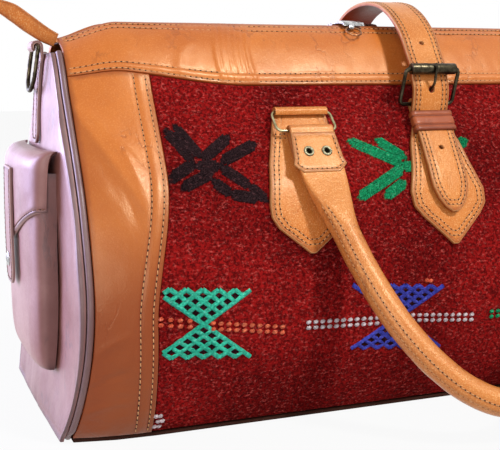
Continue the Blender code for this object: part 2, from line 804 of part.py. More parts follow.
def handle(name, side):
    loops = []
    for point, wide_axis, thick_axis, wide, thick, square in handle_sections(side):
        loop = []
        for k in range(HANDLE_SIDES):
            angle = 2 * math.pi * (k + 0.5) / HANDLE_SIDES
            c, s = math.cos(angle), math.sin(angle)
            a = wide * math.copysign(abs(c) ** (2 / square), c)
            b = thick * math.copysign(abs(s) ** (2 / square), s)
            loop.append(point + wide_axis * a + thick_axis * b)
        loops.append(loop)
    made = tube(name, loops, "tan_leather")
    _, out = handle_frames(side)
    for end, centre in eyelet_centres(side):
        hole = EYELET_BARREL + GAP
        combine(made, rod(f"{name}_hole_{end}", centre, out, hole, 0.010), "DIFFERENCE")
    return made


def eyelet_centres(side):
    """(label, centre) of the four eyelets that hold one handle's two folds."""
    _, lower = ring_bars(side)
    down, _ = handle_frames(side)
    for end, hand in ((-1, "left"), (1, "right")):
        for step, place in ((-0.5, "outer"), (0.5, "inner")):
            x = end * (HANDLE_HALF_SPAN - step * EYELET_SPACING)
            yield f"{hand}_{place}", lower + Vector((x, 0, 0)) + down * EYELET_FROM_RING


def eyelet(name, centre, side):
    """A tubular rivet through both layers, with a flange at each face."""
    _, out = handle_frames(side)
    right = Vector((1, 0, 0))
    up = out.cross(right)
    reach = HANDLE_END_THICKNESS + GAP / 2 + GAP
    thick = EYELET_FLANGE_THICKNESS
    profile = [
        (EYELET_HOLE, -reach - thick), (EYELET_FLANGE, -reach),
        (EYELET_BARREL, -reach), (EYELET_BARREL, reach), (EYELET_FLANGE, reach),
        (EYELET_HOLE, reach + thick),
    ]
    loops = []
    for k in range(8):
        angle = 2 * math.pi * k / 8
        ray = right * math.cos(angle) + up * math.sin(angle)
        loops.append([centre + ray * r + out * h for r, h in profile])
    return tube(name, loops, "pale_brass", closed=True)


def handles():
    for side, face in ((-1, "front"), (1, "back")):
        for end, hand in ((-1, "left"), (1, "right")):
            handle_tab(f"{face}_{hand}_handle_tab", side, end)
            handle_ring(f"{face}_{hand}_handle_ring", side, end)
        handle(f"{face}_handle", side)
        for place, centre in eyelet_centres(side):
            eyelet(f"{face}_eyelet_{place}", centre, side)


# Closure strap and buckle


def base_tab(name, side):
    """The pointed tab on the face whose neck turns round the buckle's bar, or ends flat on the back."""
    path, widths = tab_path(BASE_TAB_OUTLINE, BASE_TAB_TIP, side, TAB_THICKNESS)
    if side < 0:
        radius = BUCKLE_WIRE + ROLL_CLEARANCE + TAB_THICKNESS / 2
        _, turn = roll_over(path, radius, side, NECK_TURN)
        path, widths = path + turn, widths + [widths[-1]] * len(turn)
    made = ribbon(name, path, Vector((1, 0, 0)), widths, TAB_THICKNESS, "tan_leather")
    if side < 0:
        bar = buckle_bar()
        half, reach = PRONG_RADIUS + 2 * GAP, 0.0075
        slot = box(name + "_slot", bar - Vector((half, reach, reach * 0.7)),
                   bar + Vector((half, reach, reach)), "board")
        combine(made, slot, "DIFFERENCE")
    return made


BASE_TAB_TIP = BODY_HEIGHT - BUCKLE_BAR_BELOW_TOP - BASE_TAB_OUTLINE[-1][0]


def buckle_bar():
    """Centre of the bar that the base tab's neck turns round."""
    path, _ = tab_path(BASE_TAB_OUTLINE, BASE_TAB_TIP, -1, TAB_THICKNESS)
    radius = BUCKLE_WIRE + ROLL_CLEARANCE + TAB_THICKNESS / 2
    centre, _ = roll_over(path, radius, -1, NECK_TURN)
    return centre


def roller_centre():
    return buckle_bar() + Vector((0, -ROLLER_AHEAD, ROLLER_ABOVE))


def strap_lift():
    """Height of the strap's middle over the face where it lies on the base tab and in the keeper."""
    return TAB_LIFT + TAB_THICKNESS + GAP + KEEPER_WALL + GAP + STRAP_THICKNESS / 2


def strap_path():
    """Points of the closure strap from its tip on the front, over the zip, to its end on the back."""
    lift, half = strap_lift(), STRAP_THICKNESS / 2
    top = BODY_HEIGHT
    front = [face_point(0, top - d, -1, lift) for d in spread(STRAP_TIP_BELOW_TOP, 0.0745, 8)]
    bar, roller = buckle_bar(), roller_centre()
    in_front_of_bar = bar.y - BUCKLE_WIRE - ROLL_CLEARANCE - TAB_THICKNESS - GAP - half
    behind_roller = roller.y + ROLLER_RADIUS + 0.0009 + half
    front += [
        Vector((0, in_front_of_bar - 0.0006, bar.z + 0.0010)),
        Vector((0, in_front_of_bar - 0.0012, bar.z + 0.0120)),
        Vector((0, (in_front_of_bar + behind_roller) / 2 - 0.0006, bar.z + 0.0200)),
        Vector((0, behind_roller, roller.z)),
    ]
    peak = top + STRAP_ARCH_RISE
    arch = [
        (-0.0700, peak - 0.0440), (-0.0605, peak - 0.0300), (-0.0495, peak - 0.0190),
        (-0.0365, peak - 0.0100), (-0.0200, peak - 0.0030), (0.0000, peak), (0.0200, peak - 0.0010),
        (0.0400, peak - 0.0060), (0.0560, peak - 0.0150), (0.0670, peak - 0.0280),
        (0.0715, peak - 0.0430), (0.0725, peak - 0.0560),
    ]
    back_lift = TAB_LIFT + TAB_THICKNESS + GAP + half
    back = [face_point(0, top - d, 1, back_lift) for d in spread(0.072, 0.135, 6)]
    return front + [Vector((0, y, z)) for y, z in arch] + back


def strap_holes():
    """Stations of the punched holes, by height above the tip, and the one that the prong is through."""
    return (0.047, 0.022)


def closure_strap(name):
    path = strap_path()
    widths = [STRAP_HALF_WIDTH] * len(path)
    widths[0:3] = [0.0030, 0.0125, STRAP_HALF_WIDTH]
    made = ribbon(name, path, Vector((1, 0, 0)), widths, STRAP_THICKNESS, "tan_leather")
    lift, tip = strap_lift(), BODY_HEIGHT - STRAP_TIP_BELOW_TOP
    for k, height in enumerate(strap_holes()):
        centre = face_point(0, tip + height, -1, lift)
        outward = centre - face_point(0, tip + height, -1, 0.0)
        hole = rod(f"{name}_hole_{k}", centre, outward, STRAP_HOLE_RADIUS, 0.0025)
        combine(made, hole, "DIFFERENCE")
    through = prong_hole()
    slot = rod(f"{name}_prong_hole", through, Vector((0, 1, 0.0)), STRAP_HOLE_RADIUS, 0.0045)
    for vert in slot.data.vertices:
        vert.co.z = through.z + (vert.co.z - through.z) * 1.9
    combine(made, slot, "DIFFERENCE")
    above = path[11] + (path[12] - path[11]) * 0.75
    free = rod(f"{name}_free_hole", above, Vector((0, 1, 0.35)), STRAP_HOLE_RADIUS, 0.0050)
    combine(made, free, "DIFFERENCE")
    return made


def prong_hole():
    """Where the prong goes through the strap."""
    bar = buckle_bar()
    y = bar.y - BUCKLE_WIRE - ROLL_CLEARANCE - TAB_THICKNESS - GAP - STRAP_THICKNESS / 2 - 0.0012
    return Vector((0, y, bar.z + 0.0120))


def buckle_frame(name):
    bar, top = buckle_bar(), roller_centre()
    right, up = Vector((1, 0, 0)), (top - bar)
    length = up.length
    up.normalize()
    r, w = 0.004, BUCKLE_HALF_WIDTH
    path = []
    for x, t, a0 in ((w - r, length - r, 0), (-w + r, length - r, 90), (-w + r, r, 180), (w - r, r, 270)):
        path += arc(bar + right * x + up * t, r, a0 + 5, a0 + 85, 4, right, up)
    return wire(name, path, BUCKLE_WIRE, "antique_metal", closed=True, sides=6, first_normal=right.cross(up))


def buckle_roller(name):
    """A sleeve that turns on the buckle's upper bar."""
    centre, bore = roller_centre(), BUCKLE_WIRE + GAP
    up, back = Vector((0, 0, 1)), Vector((0, 1, 0))
    h, r, soft = ROLLER_HALF_LENGTH, ROLLER_RADIUS, 0.0008
    profile = [(bore, -h), (r - soft, -h), (r, -h + soft), (r, h - soft), (r - soft, h), (bore, h)]
    loops = []
    for k in range(12):
        angle = 2 * math.pi * k / 12
        ray = back * math.cos(angle) + up * math.sin(angle)
        loops.append([centre + ray * a + Vector((x, 0, 0)) for a, x in profile])
    return tube(name, loops, "antique_metal", closed=True)


def buckle_prong(name):
    """A wire that turns round the bar, goes through the strap and lies over the roller."""
    bar, roller, through = buckle_bar(), roller_centre(), prong_hole()
    back, up = Vector((0, 1, 0)), Vector((0, 0, 1))
    turn = arc(bar, BUCKLE_WIRE + ROLL_CLEARANCE + PRONG_RADIUS, -200, 60, 11, back, up)
    front = roller.y - ROLLER_RADIUS - PRONG_RADIUS - GAP
    path = turn + [
        Vector((0, bar.y - 0.0012, bar.z + 0.0052)),
        Vector((0, through.y + 0.0035, through.z - 0.0032)),
        through,
        Vector((0, through.y - 0.0052, through.z + 0.0048)),
        Vector((0, front + 0.0012, roller.z - 0.0048)),
        Vector((0, front, roller.z + 0.0005)),
        Vector((0, front + 0.0010, roller.z + 0.0045)),
    ]
    return wire(name, path, PRONG_RADIUS, "antique_metal", first_normal=Vector((1, 0, 0)))


def keeper_loop(name):
    """A closed leather band round the strap, above the base tab's neck."""
    z = BODY_HEIGHT - KEEPER_BELOW_TOP
    foot_point = face_point(0, z, -1)
    out = (face_point(0, z, -1, 0.01) - foot_point).normalized()
    up = Vector((0, -out.z, out.y)) * (-1 if out.y < 0 else 1)
    low = TAB_LIFT + TAB_THICKNESS + GAP
    high = low + KEEPER_WALL + GAP + STRAP_THICKNESS + GAP
    half = STRAP_HALF_WIDTH + 2 * GAP
    inner = [(-half, low + KEEPER_WALL), (half, low + KEEPER_WALL), (half, high), (-half, high)]
    wall = KEEPER_WALL
    outer = [(-half - wall, low), (half + wall, low), (half + wall, high + wall), (-half - wall, high + wall)]
    outer_loops, inner_loops = [], []
    for t in (-KEEPER_HALF_HEIGHT, KEEPER_HALF_HEIGHT):
        outer_loops.append([foot_point + Vector((x, 0, 0)) + out * n + up * t for x, n in outer])
        inner_loops.append([foot_point + Vector((x, 0, 0)) + out * n + up * t for x, n in inner])
    loops = [outer_loops[0], outer_loops[1], inner_loops[1], inner_loops[0]]
    return tube(name, loops, "keeper_leather", closed=True)


def closure():
    base_tab("buckle_tab", -1)
    base_tab("back_strap_patch", 1)
    closure_strap("closure_strap")
    buckle_frame("buckle_frame")
    buckle_roller("buckle_roller")
    buckle_prong("buckle_prong")
    keeper_loop("keeper_loop")


# Zip


def zip_height(x):
    z = BODY_HEIGHT - ZIP_DROP
    return z - droop_at(x, z)


def zip_half(name, side):
    """One tape with its row of teeth, which meets the other one along the middle."""
    end = HALF_LENGTH - TAPE_END
    flat = HALF_LENGTH - DROOP_LENGTH
    stations = spread(-end, -flat, 6) + spread(-flat, flat, 3)[1:-1] + spread(flat, end, 6)
    tape, teeth = TAPE_THICKNESS / 2, TEETH_HEIGHT / 2
    loops = []
    for x in stations:
        half_width = skin(x, BODY_HEIGHT, 1).y - TAPE_INSET
        profile = [
            (GAP / 2, -teeth), (TEETH_WIDTH, -teeth), (TEETH_WIDTH, -tape), (half_width, -tape),
            (half_width, tape), (TEETH_WIDTH, tape), (TEETH_WIDTH, teeth), (GAP / 2, teeth),
        ]
        loops.append([Vector((x, side * y, zip_height(x) + h)) for y, h in profile])
    return tube(name, loops, "zip_tape")


def slider_eye(x, side):
    z = BODY_HEIGHT - SLIDER_EYE_BELOW_TOP
    return Vector((x - side * SLIDER_EYE_SHIFT, side * SLIDER_EYE_AHEAD, z))


def zip_slider(name, x, side):
    """A slider on the teeth whose front lip reaches over the band and holds the ring."""
    low = zip_height(0) + TEETH_HEIGHT / 2 + SLIDER_ABOVE_TEETH
    top = BODY_HEIGHT
    profile = [
        (-0.0065, low), (-0.0065, low + 0.0030), (-0.0030, top + 0.0025), (0.0100, top + 0.0042),
        (0.0200, top + 0.0044), (0.0272, top + 0.0028), (0.0292, top - 0.0002), (0.0272, top - 0.0005),
        (0.0255, top + 0.0010), (0.0200, top + 0.0021), (0.0065, top + 0.0021), (0.0065, low),
    ]
    loops = []
    for dx in (-SLIDER_HALF_LENGTH, SLIDER_HALF_LENGTH):
        loops.append([Vector((x + dx, side * y, z)) for y, z in profile])
    made = tube(name, loops, "silver_metal")
    eye, right = slider_eye(x, side), Vector((1, 0, 0))
    combine(made, rod(name + "_eye", eye, right, EYE_RADIUS, EYE_HALF_LENGTH), "UNION")
    combine(made, rod(name + "_hole", eye, right, EYE_HOLE, 0.0200), "DIFFERENCE")
    return made


def band_slope(side):
    """The direction down the top band just below the zip, a little off its surface."""
    high, low = BODY_HEIGHT - 0.3 * PULL_RING_RADIUS, BODY_HEIGHT - 2.6 * PULL_RING_RADIUS
    top = face_point(0, high, side, LEATHER_PROUD)
    down = face_point(0, low, side, LEATHER_PROUD + PULL_RING_LIFT) - top
    return down.normalized()


def pull_ring(name, x, side):
    eye = slider_eye(x, side)
    down = band_slope(side)
    right = Vector((1, 0, 0))
    centre = eye + down * PULL_RING_RADIUS
    path = arc(centre, PULL_RING_RADIUS, 0, 360, 17, right, down)[:-1]
    normal = right.cross(down)
    return wire(name, path, PULL_RING_WIRE, "copper_wire", closed=True, sides=6, first_normal=normal)


def zip_end_tab(name, end):
    """A folded leather tab that stands on edge at the end of the zip."""
    root_x, root_z = HALF_LENGTH - TAPE_END + GAP * 2, zip_height(HALF_LENGTH - TAPE_END) + 0.0025
    path = [Vector((end * (root_x + dx), 0, root_z + dz)) for dx, dz, _ in END_TAB_PATH]
    loops = []
    for i, point in enumerate(path):
        tangent = (path[min(i + 1, len(path) - 1)] - path[max(i - 1, 0)]).normalized()
        up = Vector((-tangent.z, 0, tangent.x)) * end * END_TAB_PATH[i][2]
        side = Vector((0, END_TAB_THICKNESS / 2, 0))
        loops.append([point - up - side, point + up - side, point + up + side, point - up + side])
    return tube(name, loops, "tan_leather")


def zip_pieces():
    zip_half("front_zip_half", -1)
    zip_half("back_zip_half", 1)
    for x, side, hand in ((LEFT_SLIDER_X, -1, "left"), (RIGHT_SLIDER_X, 1, "right")):
        zip_slider(f"{hand}_zip_slider", x, side)
        pull_ring(f"{hand}_pull_ring", x, side)
    for end, hand in ((-1, "left"), (1, "right")):
        zip_end_tab(f"{hand}_zip_end_tab", end)


# D-rings on the ends


def d_tab_path(end):
    """The ring tab's path up the end panel and round the D-ring's bar, and that bar's centre."""
    bar_z = BODY_HEIGHT - D_BAR_BELOW_TOP
    lift = LEATHER_THICKNESS + GAP + TAB_THICKNESS / 2
    drop = droop_at(HALF_LENGTH, BODY_HEIGHT) * 0.75
    path = [end_point(0, z, end, lift) for z in spread(bar_z - D_TAB_LENGTH, bar_z - 0.010 + drop, 7)]
    path.append(Vector((path[-1].x, 0, bar_z)))
    radius = D_WIRE + ROLL_CLEARANCE + TAB_THICKNESS / 2
    outward, up = Vector((end, 0, 0)), Vector((0, 0, 1))
    centre = path[-1] + outward * radius
    return path + arc(centre, radius, 180, -60, 9, outward, up)[1:], centre


def d_ring_tab(name, end):
    path, _ = d_tab_path(end)
    widths = [D_TAB_HALF_WIDTH] * len(path)
    widths[0] = 0.55 * D_TAB_HALF_WIDTH
    return ribbon(name, path, Vector((0, 1, 0)), widths, TAB_THICKNESS, "brown_leather")


def d_ring(name, end):
    _, bar = d_tab_path(end)
    tilt = math.radians(D_TILT)
    down = Vector((end * math.sin(tilt), 0, -math.cos(tilt)))
    across = Vector((0, 1, 0))
    w, r = D_HALF_WIDTH, 0.0035
    shoulder = D_DROP - w
    path = arc(bar + across * (w - r) + down * r, r, -90, 0, 4, across, down)
    path += arc(bar + down * shoulder, w, 0, 180, 9, across, down)
    path += arc(bar - across * (w - r) + down * r, r, 180, 270, 4, across, down)
    return wire(name, path, D_WIRE, "antique_metal", closed=True, sides=6, first_normal=across.cross(down))


# End pockets


def pouch_grid(end, half_width, depth, foot_z, mouth_z):
    """A pouch standing off the end panel: rows from its foot up to its mouth."""
    base, radius, square = LEATHER_THICKNESS + GAP, POUCH_FOOT_RADIUS, POUCH_SQUARE
    rows = [(foot_z + radius * (1 - math.cos(a)), math.sin(a) ** (2 / square))
            for a in spread(0.0, math.pi / 2, 5)]
    rows += [(z, 1.0) for z in spread(foot_z + radius, mouth_z, 4)[1:]]
    grid = []
    for z, fullness in rows:
        row = []
        for a in spread(-math.pi / 2, math.pi / 2, 13):
            y = half_width * math.copysign(abs(math.sin(a)) ** (2 / square), math.sin(a))
            stand = depth * fullness * abs(math.cos(a)) ** (2 / square)
            narrow = 1.0 - POUCH_TAPER * (1.0 - fullness)
            row.append(end_point(y * narrow, z, end, base + stand))
        grid.append(row)
    return grid


def pocket_body(name, end):
    outer = pouch_grid(end, POCKET_HALF_WIDTH, POCKET_DEPTH, POCKET_FOOT, POCKET_MOUTH)
    wall = POCKET_WALL
    inner = pouch_grid(end, POCKET_HALF_WIDTH - wall, POCKET_DEPTH - wall, POCKET_FOOT + wall, POCKET_MOUTH)
    return solid_between(name, outer, inner, "brown_leather")


def flap_low(y):
    """Height of the flap's lower edge, which comes to a soft point in the middle."""
    return FLAP_MIDDLE_LOW + (FLAP_SIDE_LOW - FLAP_MIDDLE_LOW) * min(1.0, abs(y) / POCKET_HALF_WIDTH)


def flap_grid(end, clearance):
    half_width = POCKET_HALF_WIDTH + clearance
    depth = POCKET_DEPTH + clearance
    base, square, turn = LEATHER_THICKNESS + GAP, POUCH_SQUARE, FLAP_TURN
    rows = spread(0.0, 1.0, 4) + [1.0 + k for k in spread(0.0, 1.0, 5)[1:]]
    grid = []
    for v in rows:
        row = []
        for a in spread(-0.47 * math.pi, 0.47 * math.pi, 13):
            y = half_width * math.copysign(abs(math.sin(a)) ** (2 / square), math.sin(a))
            stand = depth * abs(math.cos(a)) ** (2 / square)
            low, bend = flap_low(y), FLAP_TOP - turn + clearance
            if v <= 1.0:
                z = low + (bend - low) * v
            else:
                angle = (v - 1.0) * math.pi / 2 * 0.97
                z = bend + turn * math.sin(angle)
                stand *= math.cos(angle) ** 0.5
            row.append(end_point(y, z, end, base + stand))
        grid.append(row)
    return grid


def flap_axis(end):
    """A point on the line that a flap lifts about, in the middle of its sewn edge."""
    row = flap_grid(end, 2 * GAP + FLAP_WALL / 2)[-1]
    return row[len(row) // 2]


def pocket_flap(name, end):
    outer = flap_grid(end, 2 * GAP + FLAP_WALL)
    inner = flap_grid(end, 2 * GAP)
    return solid_between(name, outer, inner, "brown_leather")


def pocket_strap(name, end):
    """The closing strap down the middle of the flap, past its point to the snap."""
    lift = LEATHER_THICKNESS + GAP + POCKET_DEPTH + 3 * GAP + FLAP_WALL + POCKET_STRAP_THICKNESS / 2
    heights = spread(POCKET_STRAP_TIP, POCKET_STRAP_TOP, 10)
    path = [end_point(0, z, end, lift) for z in heights]
    widths = [POCKET_STRAP_HALF_WIDTH] * len(path)
    widths[0] = 0.55 * POCKET_STRAP_HALF_WIDTH
    return ribbon(name, path, Vector((0, 1, 0)), widths, POCKET_STRAP_THICKNESS, "brown_leather")


def pocket_snap(name, end):
    """The snap's domed cap on the strap's end."""
    lift = LEATHER_THICKNESS + GAP + POCKET_DEPTH + 4 * GAP + FLAP_WALL + POCKET_STRAP_THICKNESS
    centre = end_point(0, SNAP_HEIGHT, end, lift)
    profile = [(SNAP_RADIUS, 0.0), (SNAP_RADIUS, 0.3), (0.7 * SNAP_RADIUS, 0.8), (0.35 * SNAP_RADIUS, 1.0)]
    loops = []
    for radius, share in profile:
        loop = []
        for k in range(10):
            angle = 2 * math.pi * k / 10
            offset = Vector((end * share * SNAP_THICKNESS, radius * math.cos(angle), radius * math.sin(angle)))
            loop.append(centre + offset)
        loops.append(loop)
    return tube(name, loops, "silver_metal")


def ends():
    for end, hand in ((-1, "left"), (1, "right")):
        d_ring_tab(f"{hand}_d_ring_tab", end)
        d_ring(f"{hand}_d_ring", end)
        pocket_body(f"{hand}_pocket", end)
        pocket_flap(f"{hand}_pocket_flap", end)
        pocket_strap(f"{hand}_pocket_strap", end)
        pocket_snap(f"{hand}_pocket_snap", end)


def main():
    for old in list(bpy.data.objects):
        bpy.data.objects.remove(old, do_unlink=True)
    body()
    handles()
    closure()
    zip_pieces()
    ends()


main()
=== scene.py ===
"""The looks of a leather and kilim travel bag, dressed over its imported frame.

Metres throughout. X runs along the bag, -Y is the front, +Z is up, and the floor is at zero.
"""
import logging
import math
from collections.abc import Callable, Sequence
from dataclasses import dataclass, field
from enum import Enum

import bmesh
import bpy
from mathutils import Matrix, Vector, noise


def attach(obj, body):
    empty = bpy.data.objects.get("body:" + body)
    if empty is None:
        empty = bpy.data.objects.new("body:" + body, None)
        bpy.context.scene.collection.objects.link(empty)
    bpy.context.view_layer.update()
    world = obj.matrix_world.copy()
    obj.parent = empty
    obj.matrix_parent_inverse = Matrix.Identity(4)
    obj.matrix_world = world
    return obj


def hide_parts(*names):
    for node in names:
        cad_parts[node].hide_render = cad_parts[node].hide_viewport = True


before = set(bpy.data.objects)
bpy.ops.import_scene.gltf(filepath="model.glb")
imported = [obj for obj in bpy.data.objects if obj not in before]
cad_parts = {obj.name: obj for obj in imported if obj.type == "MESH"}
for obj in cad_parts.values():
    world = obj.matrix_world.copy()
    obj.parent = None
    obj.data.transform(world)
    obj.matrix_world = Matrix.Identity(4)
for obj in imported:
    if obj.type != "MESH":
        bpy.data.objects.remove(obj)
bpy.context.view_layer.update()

LOG = logging.getLogger("travel_bag")

# The gap between sewn pieces, how far in the stitch rows of tabs and fittings are, where they start, and
# the step along bent wires
GAP = 0.0003
TAB_ROWS = (0.0034, 0.0072)
FITTING_ROW = 0.0026
SEAM_START = 0.0035
WIRE_STEP = 0.003

FULL_TURN = 2 * math.pi
RIGHT = Vector((1.0, 0.0, 0.0))
ACROSS = Vector((0.0, 1.0, 0.0))
UP = Vector((0.0, 0.0, 1.0))

Colour = tuple[float, float, float]
Point2 = tuple[float, float]
Point3 = tuple[float, float, float]
Line = list[tuple[Vector, Vector]]
Placer = Callable[[float, float, float], Vector]
Relief = Callable[[float, float, float], float]
Piece = bpy.types.Object
Material = bpy.types.Material
Tree = bpy.types.NodeTree
Node = bpy.types.Node
Socket = bpy.types.NodeSocket


class Side(Enum):
    """The two faces of the bag, by the sign of Y."""

    FRONT = -1
    BACK = 1

    @property
    def word(self) -> str:
        """The face's name as the nodes have it."""
        return self.name.lower()


class End(Enum):
    """The two ends of the bag, by the sign of X."""

    LEFT = -1
    RIGHT = 1

    @property
    def word(self) -> str:
        """The end's name as the nodes have it."""
        return self.name.lower()


# Numbers and curves


def smooth_step(t: float) -> float:
    """An even rise from 0 to 1 while t goes from 0 to 1; values outside are held."""
    t = min(1.0, max(0.0, t))
    return t * t * (3.0 - 2.0 * t)


def hump(off: float, width: float) -> float:
    """A smooth hump: 1 where off is nothing, and almost flat from twice the width on."""
    return math.exp(-((off / width) ** 2))


def in_rows(off: float, rows: Sequence[float], width: float) -> float:
    """How far a place lies in any of some rows: the sum of their humps."""
    return sum(hump(off - row, width) for row in rows)


def signed_power(value: float, power: float) -> float:
    """A power that keeps the value's sign."""
    return math.copysign(abs(value) ** power, value)


def spread(low: float, high: float, count: int) -> list[float]:
    """So many evenly spaced values, from low to high."""
    return [low + (high - low) * i / (count - 1) for i in range(count)]


def curve_through(knots: Sequence[Point2], t: float) -> float:
    """A smooth curve through knots, as the frame's skin has it.

    Args:
        knots: Pairs of place and value, in order of place.
        t: Where to read the curve.

    Returns:
        The value at t.
    """
    t = min(knots[-1][0], max(knots[0][0], t))
    i = 0
    while i < len(knots) - 2 and t > knots[i + 1][0]:
        i += 1

    def slope(k: int) -> float:
        """The curve's slope at knot k."""
        before, after = knots[max(0, k - 1)], knots[min(len(knots) - 1, k + 1)]
        return (after[1] - before[1]) / (after[0] - before[0])

    (t0, v0), (t1, v1) = knots[i], knots[i + 1]
    h, u = t1 - t0, (t - t0) / (t1 - t0)
    return (
        v0 * (1 + 2 * u) * (1 - u) ** 2
        + h * slope(i) * u * (1 - u) ** 2
        + v1 * u * u * (3 - 2 * u)
        + h * slope(i + 1) * u * u * (u - 1)
    )


def line_through(knots: Sequence[Point2], t: float) -> float:
    """The value at t on straight lines through knots; outside them the end value holds."""
    if t <= knots[0][0]:
        return knots[0][1]
    for (t0, v0), (t1, v1) in zip(knots, knots[1:]):
        if t <= t1:
            return v0 + (v1 - v0) * (t - t0) / (t1 - t0)
    return knots[-1][1]


def arc(
    centre: Vector, radius: float, start: float, stop: float, count: int, right: Vector, up: Vector,
) -> list[Vector]:
    """Points round a centre.

    Args:
        centre: The middle of the circle.
        radius: Its radius.
        start: The first angle in degrees, from right towards up.
        stop: The last angle.
        count: How many points.
        right: Unit vector at 0 degrees.
        up: Unit vector at 90 degrees.

    Returns:
        The points in order.
    """
    angles = spread(math.radians(start), math.radians(stop), count)
    return [centre + radius * (math.cos(a) * right + math.sin(a) * up) for a in angles]


def lengths_along(points: Sequence[Vector]) -> list[float]:
    """How far along a path each of its points lies."""
    lengths = [0.0]
    for a, b in zip(points, points[1:]):
        lengths.append(lengths[-1] + (b - a).length)
    return lengths


def by_axis(lengths: Sequence[float], points: Sequence[Vector]) -> list[list[Point2]]:
    """Each axis of a path on its own, as pairs of length and value."""
    return [[(s, p[k]) for s, p in zip(lengths, points)] for k in range(3)]


def resampled(points: Sequence[Vector], step: float) -> tuple[list[Vector], list[float]]:
    """A path made even, on a smooth curve through its points.

    Args:
        points: The path's own points.
        step: The wanted distance between points.

    Returns:
        The new points, and for each its place among the old ones as a running index.
    """
    lengths = lengths_along(points)
    count = max(2, round(lengths[-1] / step) + 1)
    axes, steps = by_axis(lengths, points), [(length, float(i)) for i, length in enumerate(lengths)]
    found, places = [], []
    for s in spread(0.0, lengths[-1], count):
        found.append(Vector(curve_through(axis, s) for axis in axes))
        places.append(line_through(steps, s))
    return found, places


def ripple(x: float, y: float, z: float, size: float, seed: float = 0.0) -> float:
    """Smooth noise for folds and sags, about -1 to 1, with swells of a size; the seed picks a pattern."""
    return noise.noise(Vector((x / size + seed, y / size - seed, z / size + 2.3 * seed)))


# The skin of the bag, as the frame has it


@dataclass(frozen=True)
class Skin:
    """The smooth surface that every panel, tab and fitting lies on."""

    height: float = 0.306
    half_depth: float = 0.131
    half_length: float = 0.2925
    foot_splay: float = 0.015
    splay_share: float = 0.39
    corner_reach: float = 0.060
    corner_drop: float = 0.009
    end_droop: float = 0.013
    droop_length: float = 0.0475
    end_bulge: float = 0.008
    end_top: float = 0.954
    strip_top: float = 0.0635
    strip_foot: float = 0.0460
    band_height: float = 0.0485
    band_rise: float = 0.013
    piping: float = 0.0025
    foot: float = 0.0042
    leather: float = 0.0035
    section: tuple[Point2, ...] = (
        (0.000, 0.800), (0.040, 0.866), (0.105, 0.931), (0.200, 0.985), (0.294, 1.000),
        (0.389, 0.977), (0.484, 0.916), (0.582, 0.824), (0.676, 0.695), (0.771, 0.550),
        (0.833, 0.458), (0.897, 0.382), (0.948, 0.305), (0.980, 0.229), (1.000, 0.145),
    )

    def depth_at(self, z: float) -> float:
        """Half the bag's depth at height z."""
        return self.half_depth * curve_through(self.section, z / self.height)

    def half_length_at(self, z: float) -> float:
        """X of the end seam at height z."""
        splay = max(0.0, 1.0 - z / (self.splay_share * self.height))
        return self.half_length + self.foot_splay * splay**2

    def seam_depth_at(self, z: float) -> float:
        """Y of the end seam at height z."""
        return self.depth_at(z) - self.corner_drop

    def droop_at(self, x: float, z: float) -> float:
        """How far the top sinks towards the ends."""
        along = smooth_step((abs(x) - self.half_length + self.droop_length) / self.droop_length)
        return self.end_droop * along * (z / self.height) ** 6

    def at(self, x: float, z: float, side: Side) -> Vector:
        """The point of a face at x and z."""
        inward = max(0.0, (abs(x) - self.half_length_at(z) + self.corner_reach) / self.corner_reach)
        depth = self.depth_at(z) - self.corner_drop * min(inward, 1.1) ** 2
        return Vector((x, side.value * depth, z - self.droop_at(x, z)))

    def face(self, x: float, z: float, side: Side, lift: float = 0.0) -> Vector:
        """A point lifted off a face.

        Args:
            x: Place along the bag.
            z: Height before the ends droop.
            side: Front or back.
            lift: Distance outwards from the skin.

        Returns:
            The point.
        """
        step = 0.0005
        low, high = max(0.0, z - step), min(self.height, z + step)
        up = self.at(x, high, side) - self.at(x, low, side)
        along = self.at(x + step, z, side) - self.at(x - step, z, side)
        normal = along.cross(up).normalized()
        if normal.y * side.value < 0:
            normal.negate()
        return self.at(x, z, side) + normal * lift

    def end(self, y: float, z: float, end: End, lift: float = 0.0) -> Vector:
        """A point lifted off an end panel's inner face.

        Args:
            y: Place across the bag.
            z: Height before the ends droop.
            end: Left or right.
            lift: Distance outwards.

        Returns:
            The point.
        """
        across = max(0.0, 1.0 - (y / self.seam_depth_at(z)) ** 2)
        top = self.end_top * self.height
        bulge = self.end_bulge * across * math.sin(math.pi * min(1.0, max(0.0, z / top))) ** 0.6
        x = self.half_length_at(z) + self.piping + GAP + bulge + lift
        return Vector((end.value * x, y, z - self.droop_at(self.half_length, z)))

    def kilim_edge(self, z: float) -> float:
        """X of the kilim's edge at height z."""
        low = smooth_step((0.65 - z / self.height) / 0.36)
        return self.half_length - self.strip_top + (self.strip_top - self.strip_foot) * low

    def band_low(self, x: float) -> float:
        """Height of the top band's lower edge at x."""
        rise = smooth_step((abs(x) - 0.5 * self.half_length) / (0.46 * self.half_length))
        return self.height - self.band_height + self.band_rise * rise

    def seam_edge(self, z: float) -> float:
        """X where the leather stops beside the end seam's piping."""
        return self.half_length_at(z) - self.piping - GAP


SKIN = Skin()


# Meshes


